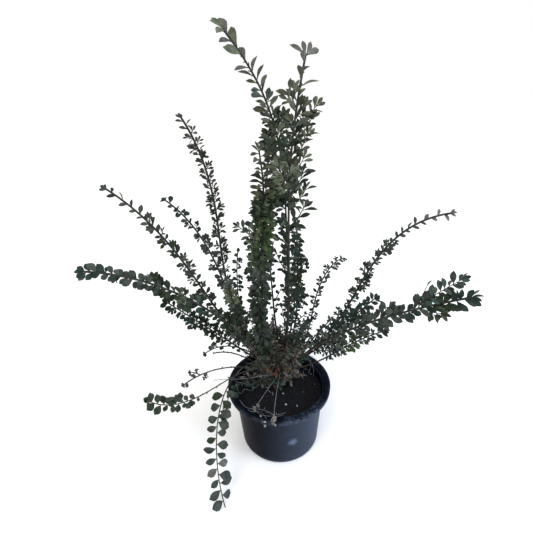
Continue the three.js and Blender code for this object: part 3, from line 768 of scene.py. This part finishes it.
def smoothPath(points):
    # places about every millimetre along a smooth line through a few points
    points = [Vector(point) for point in points]
    ends = [2 * points[0] - points[1]] + points + [2 * points[-1] - points[-2]]
    places = []
    for a, b, c, d in zip(ends, ends[1:], ends[2:], ends[3:]):
        count = max(1, round((c - b).length))
        for i in range(count):
            t = i / count
            places.append(0.5 * (2 * b + (c - a) * t + (2 * a - 5 * b + 4 * c - d) * t ** 2
                                 + (3 * b - a - 3 * c + d) * t ** 3))
    return places + [points[-1]]


def routeThrough(points, face):
    # spots along a smooth line through a few points
    places = smoothPath(points)
    route = []
    for k, at in enumerate(places):
        along = (places[min(k + 1, len(places) - 1)] - places[max(k - 1, 0)]).normalized()
        route.append(Spot(at, *axesOf(along, upward.cross(along).normalized(), face)))
    return route


def sideways(spot, rank, roll):
    return spot.side * (rank * cos(roll)) + spot.top * sin(roll)


def twigFrom(name, spot, rank, length, random, wobble=24):
    # spots along a side branch, which bends in towards its stem's line
    roll = radians(spread(random, wobble))
    angle = branches[name]["angle"] + spread(random, 10)
    out = sideways(spot, rank, roll)
    top = spot.along.cross(out).normalized()
    at = spot.at.copy()
    route = []
    for d in range(int(length) + 1):
        a = radians(angle - growth["bendIn"] * d / length)
        along = spot.along * cos(a) + out * sin(a)
        twig = Spot(at.copy(), along, top.cross(along), top)
        twig.vigour, twig.gap, twig.thin = spot.vigour, spot.gap, spot.thin
        route.append(twig)
        at += along
    return route


def tapered(route, rootRadius, tipRadius):
    last = len(route) - 1
    return [(spot.at, rootRadius + (tipRadius - rootRadius) * d / last) for d, spot in enumerate(route)]


def stemOf(shoot, route, start):
    # places and radii along part of a shoot, from a distance up its stem
    root, rise = shoot["girth"] / 2, shoot["tip"] - shoot["girth"] / 2
    return [(spot.at, (root + rise * (start + d) / shoot["length"]) * shoot["slender"])
            for d, spot in enumerate(route)]


def blocked(point):
    # whether a point is in the pot's wall, the soil, the foot or the ground
    r = hypot(point.x, point.y)
    if point.z < 2:
        return True
    if dist(point.xy, foot["at"]) < foot["headRadius"] + 1 and point.z < soil["level"] + foot["height"]:
        return True
    if point.z > pot["height"] + 0.3 or r > pot["rimRadius"] + 0.3:
        return False
    if point.z < pot["height"] - pot["rimDrop"] - 4 and r > pot["neckRadius"] + 0.3:
        return False
    return not (r < wallRadius(point.z) - pot["wall"] - 1 and point.z > soil["level"] + 0.8)


blades = {(name, fineness): leafShape(name, columns, leafSize["rows"])
          for name in leafShapes for fineness, columns in leafSize["columns"].items()}
leaves = {}  # copies of the blades by kind


def addLeaf(kind, shape, at, along, across, length):
    if across.cross(along).z < 0:
        across = -across
    width = leafShapes[shape]["width"]
    middle, tip = at + along * length * 0.55, at + along * length
    half = across * length * width * 0.4
    if any(blocked(point) for point in (middle, tip, middle + half, middle - half)):
        return
    blade = blades[shape, "small" if length < leafSize["largeFrom"] else "large"]
    leaves.setdefault(kind, []).append(placed(blade, at, along, across, length, length * width))


def turnedToLight(along, across, twist, roll):
    # a leaf turned about its own line by its twist, whichever way faces the light more, never edge on to it
    ways = [Quaternion(along, radians(way * twist + roll)) @ across for way in (1, -1)]
    best = max(ways, key=lambda way: abs(way.cross(along).dot(sunward)))
    if abs(best.cross(along).dot(sunward)) < facing["least"]:
        broad = along.cross(sunward).normalized()
        best = (best + broad * copysign(facing["nudge"], best.dot(broad))).normalized()
    return best


def leavesAlong(route, start, gap, size, shoot, kindAt, random, wobble, fan="three"):
    own, angle, stretch = shoot["leaf"]
    usualLength = leafSize["length"] * size * stretch

    def shapeAt(spot):
        return shoot["tipLeaf"] or own if spot.open else own

    d, rank = start, 1
    while d < len(route) - 2:
        spot = route[round(d)]
        if spot.clear:
            d += 2
            continue
        out = sideways(spot, rank, radians(spread(random, wobble)))
        lean = radians(angle + spread(random, 14))
        along = spot.along * cos(lean) + out * sin(lean)
        flat = spot.along.cross(out).normalized()
        flat = flat.cross(along).normalized()
        across = turnedToLight(along, flat, shoot["twist"], spread(random, shoot["roll"]))
        length = usualLength * spot.vigour * varied(random)
        addLeaf(kindAt(d), shapeAt(spot), spot.at, along, across, length)
        d += gap * spot.gap * varied(random)
        rank = -rank
    last = route[-1]
    side = (last.side + last.along.cross(sunward) * 0.8).normalized()
    side = (side - last.along * side.dot(last.along)).normalized()
    for turn, part in fans[fan]:
        lean = radians(turn + spread(random, 8))
        along = last.along * cos(lean) + side * sin(lean)
        across = side * cos(lean) - last.along * sin(lean)
        across = turnedToLight(along, across, 0, spread(random, shoot["roll"]))
        addLeaf(kindAt(len(route) - 1), shapeAt(last), last.at - last.along, along, across,
                usualLength * last.vigour * part)


def oneOf(kinds, random):
    names = kinds.split()
    return names[int(random() * len(names))]


def kindDealer(shoot, length, random):
    # one kind for each spray: a run of the stem draws one, from the low kinds, the high ones or a band's own
    dealt = {}

    def kindAt(d):
        spray = int(d // shoot["run"])
        if spray not in dealt:
            kinds = shoot["high"] if d > 0.5 * length else shoot["low"]
            for own, first, last in shoot["bands"]:
                if first * length <= d < last * length:
                    kinds = own
            dealt[spray] = oneOf(kinds, random)
        return dealt[spray]
    return kindAt


def tellSpots(leafy, shoot):
    # how large and how close the leaves are along a shoot, and where its open tip starts
    count = len(leafy)
    openFrom, openGap, openSize = shoot["open"]
    thinTo, thinGap = shoot["thin"]
    clearFrom, clearTo = shoot["clear"]
    for d, spot in enumerate(leafy):
        opened = min(1, max(0, d - openFrom * count) / growth["opensOver"])
        spot.vigour = shoot["young"] + (1 - shoot["young"]) * min(1, d / (growth["full"] * count))
        spot.vigour *= 1 + (openSize - 1) * opened
        spot.open = opened > 0.3
        spot.thin = d < thinTo * count
        spot.gap = thinGap if spot.thin else 1 + (openGap - 1) * opened
        spot.clear = clearFrom <= d + shoot["bare"] < clearTo
    return int(openFrom * count)


def growStubs(route, stems, random):
    # buds and stubs of old twigs along a leafless stretch
    d, rank = growth["stubsFrom"], 1
    short, long = growth["stubLength"]
    while d < len(route) - 2:
        stub = twigFrom("stub", route[round(d)], rank, short + (long - short) * random() ** 2, random, 90)
        stems.append(tapered(stub, *branches["stub"]["radii"]))
        d += within(random, *growth["stubGap"])
        rank = -rank


def growBranch(name, route, shoot, kind, gap, size, stems, random):
    look = branches[name]
    stems.append(tapered(route, *look["radii"]))
    leavesAlong(route, look["first"], gap * look["gap"], size * look["size"], shoot, lambda d: kind, random,
                look["round"], look["fan"])


def growTwig(route, shoot, kind, stems, random):
    # a side twig with its leaves and two finer twigs of its own
    gap = shoot["gap"] / usual["density"]
    growBranch("twig", route, shoot, kind, gap, shoot["size"], stems, random)
    for part, rank in () if route[0].thin else growth["finerAt"]:
        start = route[int(part * (len(route) - 1))]
        finer = twigFrom("finer", start, rank, len(route) * growth["finerLength"], random)
        growBranch("finer", finer, shoot, kind, gap, shoot["size"], stems, random)


def growSpurs(leafy, shoot, kindAt, stems, random):
    # short side shoots that carry a close tuft of smaller leaves
    if not shoot["spurs"]:
        return
    d, rank = shoot["spurs"] * 0.5, -1
    while d < len(leafy) - growth["spursEnd"]:
        spot = leafy[round(d)]
        d += shoot["spurs"] * spot.gap * within(random, *growth["spurGap"])
        rank = -rank
        if spot.clear:
            continue
        spur = twigFrom("spur", spot, rank, within(random, *growth["spurLength"]), random, shoot["round"])
        growBranch("spur", spur, shoot, kindAt(d), 1, shoot["size"] * shoot["tuft"], stems, random)


def growSprays(leafy, shoot, kindAt, stems, random):
    # long side twigs in one rank, each with a few narrow leaves
    first, last, step, rank, length = shoot["sprays"]
    for d in range(first, last, step):
        start = leafy[d + round(spread(random, 2))]
        spray = twigFrom("spray", start, rank, length * within(random, 0.85, 1.15), random, 16)
        growBranch("spray", spray, shoot, kindAt(d), 1, shoot["size"], stems, random)


def growBare(shoot, seed, limbs):
    # the leafless stretch of a shoot, with its stubs; gives back the whole route
    route = routeOf(shoot)
    lower = route[:shoot["bare"] + 1]
    limbs.append(stemOf(shoot, lower, 0))
    if shoot["stubs"]:
        growStubs(lower, limbs, seededRandom(seed + seeds["stubs"]))
    return route


def growShoot(shoot, seed, limbs, stems):
    leafy = growBare(shoot, seed, limbs)[shoot["bare"]:]
    stems.append(stemOf(shoot, leafy, shoot["bare"]))
    closed = tellSpots(leafy, shoot)
    placing = seededRandom(seed)  # the solids' own draws, so that each twig is where its solid is
    fine = seededRandom(seed + seeds["fine"])
    kindAt = kindDealer(shoot, len(leafy), fine)
    leavesAlong(leafy, 3, shoot["gap"] / shoot["density"], shoot["size"], shoot, kindAt, fine,
                shoot["round"], shoot["fan"])
    count, longest = shoot["twigs"]
    for i in range(count):
        s = (i + 0.5 + spread(placing, 0.3)) / (count + 0.6)
        rank = 1 if i % 2 else -1
        length = longest * (1 - growth["shrink"] * s) * varied(placing)
        start = min(round(s * (shoot["length"] - shoot["bare"])), len(leafy) - 1)
        twig = twigFrom("twig", leafy[start], rank, length, placing)
        if start > closed or leafy[start].clear:
            continue
        growTwig(twig, shoot, kindAt(start), stems, fine)
        if not leafy[start].thin:
            back = leafy[max(0, start - growth["acrossBack"])]
            across = twigFrom("twig", back, -rank, length * growth["acrossLength"], fine)
            growTwig(across, shoot, kindAt(start), stems, fine)
    growSpurs(leafy[:closed], shoot, kindAt, stems, fine)
    if shoot["sprays"]:
        growSprays(leafy, shoot, kindAt, stems, fine)
    if closed < len(leafy):
        growStubs(leafy[closed:], stems, seededRandom(seed + seeds["tipStubs"]))


coreShoots = dict(  # short inner shoots by rule, all round the foot
    count=26, length=(45, 90), lift=(30, 74), rise=(10, 22), girth=1.5, size=0.5, gap=5.2,
    bare=0.4, shorterBehind=0.3, face=58,
    left=("brown tan slate brown", "brown slate deep slate"),
    right=("brown slate teal", "teal slate blue olive"),
)


def coreShoot(k, random):
    heading = 360 * k / coreShoots["count"] + spread(random, 9)
    length = round(within(random, *coreShoots["length"]))
    ahead, aside = cos(radians(heading)), sin(radians(heading))
    low, high = coreShoots["right" if ahead > 0 else "left"]
    return dict(
        usual, root=(heading, 7, within(random, *coreShoots["rise"])), girth=coreShoots["girth"],
        bare=round(length * coreShoots["bare"]), face=-coreShoots["face"] * ahead, round=60, stubs=False,
        length=round(length * (1 - coreShoots["shorterBehind"] * max(0, aside))),
        grow=(heading, spread(random, 40), within(random, *coreShoots["lift"]), spread(random, 18), 14),
        gap=coreShoots["gap"], size=coreShoots["size"], twigs=(2, 24), spurs=11, leaf=("oval", 58, 1),
        low=low, high=high)


# Small leafy sprigs whose places are listed
usualSprig = dict(usual, leaf=("oval", 58, 1), round=80, radii=(0.7, 0.4))
sprigs = {
    "columnRight": dict(points=[(-17, 1, 211), (-12, 3, 260), (-6, 5, 298), (-2, 7, 322)], bare=6, face=-75,
        gap=2.4, size=0.66, round=85, kinds="deep fresh deep blue", twist=60, roll=35),
    "columnTop": dict(points=[(-15, -2, 290), (-9, 4, 330), (-4, 10, 366), (0, 14, 392)], bare=4, face=-75,
        gap=2.8, size=0.8, round=70, leaf=("spoon", 50, 1.1), kinds="deep olive deep", twist=50),
    "columnLeft": dict(  # narrow leaves that point left from the dense column
        points=[(-14, 0, 281), (-22, 0, 288), (-30, 0, 295), (-37, 0, 301)], bare=5, face=70, gap=3.4,
        size=0.72, round=40, leaf=("spoon", 46, 1), kinds="slate deep"),
    "columnFoot": dict(points=[(-8, 8, 112), (-14, 2, 142), (-17, -2, 172), (-18, -4, 204)], bare=4, face=-75,
        gap=2, size=0.6, round=85, kinds="slate slate blue deep", twist=50, roll=35),
    "tealRight": dict(points=[(16, 27, 92), (20, 26, 104), (25, 24, 117), (27, 24, 138), (27, 24, 161)],
        bare=3, face=-70, gap=1.6, size=0.6, round=85, kinds="teal slate teal", twist=50, roll=35),
    "tealRightTwo": dict(points=[(22, 22, 94), (29, 20, 107), (32, 20, 125), (35, 20, 144), (34, 20, 164)],
        bare=3, face=-70, gap=2.2, size=0.56, round=85, kinds="teal blue teal", twist=50, roll=35),
    "columnBright": dict(  # young green leaves half way up the column
        points=[(-22, -5, 262), (-24, -6, 284), (-18, -6, 308), (-8, -4, 330), (2, 0, 344)], bare=5, face=-70,
        gap=1.5, size=0.62, leaf=("spoon", 52, 1.1), kinds="fresh lime sage deep", twist=50, roll=35),
    "columnDark": dict(points=[(-19, 2, 307), (-13, 1, 318), (-6, 1, 328), (1, 2, 336)], bare=2, face=-75,
        gap=1.1, size=0.72, round=85, leaf=("oval", 52, 1), kinds="deep fresh deep", twist=50, roll=35),
    "columnNeck": dict(points=[(-11, 2, 303), (-5, 2, 315), (1, 3, 324), (4, 4, 332)], bare=2, face=-75,
        gap=1.3, size=0.66, round=85, leaf=("oval", 52, 1), kinds="deep blue fresh", twist=50, roll=35),
    "sageMiddle": dict(  # pale leaves where the tall shoots cross
        points=[(2, 4, 331), (7, 3, 340), (12, 3, 348), (18, 4, 353)], bare=2, face=-70, gap=2.6, size=0.84,
        leaf=("oval", 50, 1), kinds="sage olive sage", twist=40, roll=35),
    "fork": dict(  # the broad right bough's fork
        points=[(151, -5, 197), (157, -7, 207), (167, -11, 217), (180, -15, 231), (192, -19, 243)], bare=8,
        face=58, gap=2.6, size=0.8, round=50, leaf=("oval", 50, 1.1), kinds="slate deep teal slate",
        twist=40),
    "forkTwig": dict(points=[(155, -6, 203), (159, -8, 217), (162, -9, 230)], bare=6, face=30, gap=40,
        size=0.7, round=30, leaf=("spoon", 30, 1.1), kinds="slate", fan="single"),
    "rimLeft": dict(  # dead leaves that hang over the rim at the front
        points=[(-20, -52, 92.4), (-21, -59, 92.8), (-19, -64, 92), (-17, -67, 90)], bare=5, face=20, gap=1.8,
        size=0.3, leaf=("dead", 50, 1), kinds="ash tan ash"),
    "rimMiddle": dict(points=[(-9, -56, 93), (-8, -62, 93), (-6, -67, 91.4)], bare=4, face=0, gap=1.8,
        size=0.28, leaf=("dead", 50, 1), kinds="ash ash tan"),
    "rim": dict(points=[(-4, 15, 92), (-30, 0, 101), (-52, -17, 98), (-64, -32, 88), (-67, -42, 74)], bare=42,
        face=0, gap=4, size=0.62, round=60, leaf=("round", 66, 1), kinds="slate blue"),
    "low": dict(points=[(0, 10, 88), (-9, 3, 88), (-20, 2, 87), (-34, 0, 85)], bare=3, face=20, gap=1.4,
        size=0.6, leaf=("oval", 60, 1), kinds="blue blue teal deep"),
    "lowFront": dict(points=[(1, 9, 88), (-3, 1, 88), (0, -4, 86)], bare=2, face=0, gap=1.3, size=0.62,
        leaf=("oval", 60, 1), kinds="teal blue slate"),
    "lowRight": dict(points=[(8, 11, 86), (13, 5, 87), (15, 2, 85)], bare=4, face=0, gap=3, size=0.5,
        leaf=("oval", 60, 1), kinds="pale"),
}
dryTwigs = {  # thin dead stems that lie on the soil and over the rim: radius at each end, then points
    "crossing": (0.5, 0.3, [(-3, 17, 86), (-16, 14, 85), (-32, 4, 83), (-48, 2, 86), (-66, 4, 94)]),
    "hooked": (0.5, 0.25, [(-6, 12, 87), (-18, 8, 84), (-28, 0, 82), (-34, -4, 80.6)]),
    "loop": (0.3, 0.2, [(-44, 18, 82), (-55, 12, 86), (-56, 0, 84), (-49, -11, 81.5), (-44, -3, 80.5),
                        (-36, -6, 80.3)]),
    "rimDebris": (0.24, 0.16, [(-48, -31, 91.5), (-40, -43, 92.4), (-29, -47, 91.8), (-22, -55, 92.6),
                               (-10, -57, 92)]),
    "rimDebrisTwo": (0.22, 0.15, [(-34, -44, 90), (-25, -47, 93), (-14, -50, 92.4), (-5, -57, 92.2),
                                  (4, -55, 92)]),
    "rimDebrisThree": (0.2, 0.15, [(-41, -38, 88), (-33, -50, 92.6), (-22, -51, 92.2), (-15, -60, 92.4)]),
    "rimDebrisFour": (0.2, 0.14, [(-18, -42, 82), (-10, -49, 88), (-4, -55, 92.4), (7, -52, 92)]),
    "forkLeft": (0.4, 0.3, [(-6, 10, 92), (-20, 3, 97), (-44, -4, 99), (-66, -2, 97), (-84, 2, 92)]),
    "frayed": (0.3, 0.2, [(16, 30, 96), (30, 34, 98), (42, 32, 95), (47, 24, 86), (46, 18, 80.5)]),
    "frayedTwo": (0.3, 0.2, [(18, 34, 94), (34, 38, 101), (48, 34, 99), (54, 24, 95)]),
    "frayedThree": (0.25, 0.2, [(28, 36, 97), (38, 40, 97), (44, 32, 90), (40, 22, 82)]),
}


def makeSprigs(stems, dry):
    random = seededRandom(seeds["sprigs"])
    for own in sprigs.values():
        sprig = dict(usualSprig, **own)
        route = routeThrough(sprig["points"], sprig["face"])
        stems.append(tapered(route, *sprig["radii"]))
        leavesAlong(route, sprig["bare"], sprig["gap"], sprig["size"], sprig,
                    lambda d: oneOf(sprig["kinds"], random), random, sprig["round"], sprig["fan"])
    for first, last, points in dryTwigs.values():
        path = smoothPath(points)
        dry.append([(at, first + (last - first) * k / (len(path) - 1)) for k, at in enumerate(path)])


# Litter: dead leaves and bits of twig round the foot, except in front of it on the right

litter = dict(
    leaves=330, middle=(0, 28), ring=(11, 37), nearer=1.3, broader=1.25, edge=50, clearFront=5,
    lift=0.8, pile=7, pileWidth=9,
    sizes=(0.35, 0.75), pitch=38, rustAt=(9, 30), rustWithin=15, rust=0.7, brown=0.8,
    caught=700, caughtRing=(7, 24), heights=(88, 124), frontDepth=0.7, caughtSizes=(0.3, 0.7),
    caughtRustAt=(1, 8, 110), caughtRust=0.6, caughtBrown=0.4,
    bits=60, bitsRing=(12, 40), bitLength=(5, 16), bitRadius=0.4, bitsEdge=51, bitsClearFront=6,
)


def deadKind(warm, rust, brown, random):
    if warm and random() < rust:
        return "rust"
    return "brown" if random() < brown else "tan"


def deadLeaf(kind, at, along, sizes, random):
    across = along.cross(Vector((spread(random, 0.6), spread(random, 0.6), 1))).normalized()
    addLeaf(kind, "dead", at, along, across, leafSize["length"] * within(random, *sizes))


def strewLeaves(random):
    near, far = litter["ring"]
    for _ in range(litter["leaves"]):
        reach, turn = near + (far - near) * random() ** litter["nearer"], anyTurn(random)
        x = litter["middle"][0] + litter["broader"] * reach * cos(turn)
        y = litter["middle"][1] + reach * sin(turn)
        front = foot["at"][1] - litter["clearFront"]
        if hypot(x, y) > litter["edge"] or (x > foot["at"][0] and y < front):
            continue
        heap = litter["pile"] * exp(-max(0, reach - near) / litter["pileWidth"])
        at = Vector((x, y, soilHeight(x, y) + litter["lift"] + heap * random()))
        warm = dist((x, y), litter["rustAt"]) < litter["rustWithin"]
        kind = deadKind(warm, litter["rust"], litter["brown"], random)
        along = pointing(anyTurn(random), radians(spread(random, litter["pitch"])))
        deadLeaf(kind, at, along, litter["sizes"], random)


def catchLeaves(random):
    # dead leaves caught between the stems
    for _ in range(litter["caught"]):
        reach, turn = within(random, *litter["caughtRing"]), anyTurn(random)
        depth = sin(turn) if sin(turn) > 0 else litter["frontDepth"] * sin(turn)
        at = Vector((foot["at"][0] + reach * cos(turn), foot["at"][1] + reach * depth,
                     within(random, *litter["heights"])))
        warm = (at - Vector(litter["caughtRustAt"])).length < litter["rustWithin"]
        kind = deadKind(warm, litter["caughtRust"], litter["caughtBrown"], random)
        along = Vector((spread(random, 1), spread(random, 1), spread(random, 0.8))).normalized()
        deadLeaf(kind, at, along, litter["caughtSizes"], random)


def strewBits(dry, random):
    for _ in range(litter["bits"]):
        reach, turn = within(random, *litter["bitsRing"]), anyTurn(random)
        start = Vector((foot["at"][0] + reach * cos(turn), foot["at"][1] + 4 + reach * sin(turn), 0))
        run = pointing(anyTurn(random)) * within(random, *litter["bitLength"])
        points = [start, start + run * 0.5 + Vector((spread(random, 1), spread(random, 1), 0)), start + run]
        front = foot["at"][1] - litter["bitsClearFront"]
        if any(hypot(point.x, point.y) > litter["bitsEdge"] or (point.x > 0 and point.y < front)
               for point in points):
            continue
        for point in points:
            point.z = soilHeight(point.x, point.y) + 1 + 2.5 * random()
        dry.append([(at, litter["bitRadius"]) for at in smoothPath(points)])


# Limbs


def limbMesh(limbs, fineness, spacing):
    # round limbs of changing girth along their points, some left out, as one mesh
    curve = bpy.data.curves.new("limbs", "CURVE")
    curve.dimensions = "3D"
    curve.bevel_depth = 1
    curve.bevel_resolution = fineness
    curve.use_fill_caps = True
    for limb in limbs:
        points = limb[::spacing]
        if (len(limb) - 1) % spacing:
            points.append(limb[-1])
        spline = curve.splines.new("POLY")
        spline.points.add(len(points) - 1)
        for point, (at, radius) in zip(spline.points, points):
            point.co = (*at, 1)
            point.radius = radius
    holder = bpy.data.objects.new("limbs", curve)
    scene.collection.objects.link(holder)
    mesh = evaluated(holder)
    bm = bmesh.new()
    bm.from_mesh(mesh)
    bpy.data.objects.remove(holder)
    bpy.data.meshes.remove(mesh)
    bmesh.ops.remove_doubles(bm, verts=bm.verts, dist=0.0005)
    bmesh.ops.recalc_face_normals(bm, faces=bm.faces)
    return bm


def roughen(bm, coarse, fine):
    # bark relief: long low ridges and small knots, outwards from the limb
    bm.normal_update()
    for corner in bm.verts:
        at = corner.co
        ridges = noise.noise(Vector((at.x * 0.5, at.y * 0.5, at.z * 0.16)))
        knots = noise.noise(at * 0.9)
        corner.co = at + corner.normal * (coarse * ridges + fine * knots)


# Foot: the short woody base where all the shoots start


def makeFoot(material):
    base = soil["level"] - 0.6
    height = foot["height"] + 0.6
    flare, waist, head = foot["flareRadius"], foot["waistRadius"], foot["headRadius"]
    outline = [(0, 0), (flare, 0), (flare - 0.6, 1.2), (flare - 3.2, 2.6), (waist + 0.9, 4.6), (waist, 7),
               (waist + 0.2, 9.5), (waist + 0.5, 12), (head - 0.2, 14.5), (head, 16.5), (head - 0.3, 19),
               (head - 1.2, 21.3), (head - 3, 23), (head - 6, height - 0.3), (0, height)]
    finer = []
    for first, last in zip(outline, outline[1:]):
        finer += [first] + between(first, last, 2)
    bm = spun(finer + [outline[-1]], 72)
    for corner in bm.verts:
        x, y, z = corner.co
        turn = atan2(y, x)
        roots = 0.16 * cos(5 * turn + 0.8) * exp(-z / 4)
        ribs = 0.07 * noise.noise(Vector((cos(turn) * 2.4, sin(turn) * 2.4, z * 0.09)))
        knobs = 0.12 * noise.noise(Vector((x, y, z)) * 0.22)
        swell = 1 + roots + ribs + knobs
        corner.co = (x * swell + foot["lean"][0] * z + foot["at"][0],
                     y * swell + foot["lean"][1] * z + foot["at"][1], base + z)
    roughen(bm, 0.5, 0.3)
    dress(addObject("woodyFoot", meshFrom(bm), material), ["foot_stem"])


# Floor and light

studio = dict(
    floor=6, world=1.0,
    keyLight=("SUN", 1.2, (-0.5, -0.9, 1.5), (1, 0.98, 0.94)),
    sideLight=("AREA", 14, (1.1, -0.5, 0.7), (0.72, 0.82, 1)),
    keyAngle=0.5, sideSize=0.7,
)


def addLight(name):
    kind, strength, place, colour = studio[name]
    data = bpy.data.lights.new(name, kind)
    data.energy = strength
    data.color = colour
    light = bpy.data.objects.new(name, data)
    light.location = place
    light.rotation_mode = "QUATERNION"
    light.rotation_quaternion = (Vector((0, 0, 0.1)) - Vector(place)).to_track_quat("-Z", "Y")
    scene.collection.objects.link(light)
    return data


def makeStudio():
    bm = bmesh.new()
    bmesh.ops.create_grid(bm, x_segments=2, y_segments=2, size=studio["floor"] / metres)
    floor = addObject("floor", meshFrom(bm), Look("floor", grey(0.86), 0.7, 0.2).material)
    scene.world = bpy.data.worlds.new("studio")
    scene.world.use_nodes = True
    background = scene.world.node_tree.nodes["Background"].inputs
    background["Color"].default_value = (1, 1, 1, 1)
    background["Strength"].default_value = studio["world"]
    addLight("keyLight").angle = studio["keyAngle"]
    addLight("sideLight").size = studio["sideSize"]
    scene.view_settings.view_transform = "Standard"


makeCamera()
makeStudio()
print("camera and studio made")
makePot()
makeSoil()
makeCrumbs()
print("pot and soil made")

limbs, stems, dry = [], [], []
for number, own in enumerate(shoots.values()):
    shoot = dict(usual, **own)
    wood = (dry, dry) if shoot["dead"] else (limbs, stems)
    growShoot(shoot, number + 1, *wood)
growBare(bareTwig, 0, limbs)
rule = seededRandom(seeds["coreShoots"])
for k in range(coreShoots["count"]):
    growShoot(coreShoot(k, rule), seeds["firstCore"] + k, stems, stems)
makeSprigs(stems, dry)
litterDraws = seededRandom(seeds["litter"])
strewLeaves(litterDraws)
catchLeaves(litterDraws)
strewBits(dry, litterDraws)
print("shoots grown:", len(limbs), "limbs,", len(stems), "stems,", sum(map(len, leaves.values())), "leaves")

boughNodes = ["bough_" + name for name in shoots]
massNodes = ["mass_" + name for name in shoots]
dryNodes = [part + name for part in ("bough_", "mass_") for name in shoots if shoots[name].get("dead")]
barks = {name: barkMaterial(name) for name in barkTones}
makeFoot(barks["bark"])
limbPieces = {  # limbs, fineness round them, spacing of their points, relief, bark and nodes
    "boughs": (limbs, 4, 1, (0.12, 0.14), "bark", boughNodes),
    "stems": (stems, 2, 2, (0.05, 0.1), "youngBark", massNodes),
    "dryTwigs": (dry, 2, 1, (0.03, 0.08), "dryBark", dryNodes),
}
for name, (found, fineness, spacing, relief, bark, nodes) in limbPieces.items():
    bm = limbMesh(found, fineness, spacing)
    roughen(bm, *relief)
    dress(addObject(name, meshFrom(bm), barks[bark]), nodes)
print("foot and limbs made")
for kind, found in leaves.items():
    name = kind + "Leaves"
    print(name, len(found), "leaves")
    sides = [leafMaterial(kind, underside) for underside in (False, True)]
    dress(addObject(name, scattered(found), *sides), massNodes)
print("leaves made")
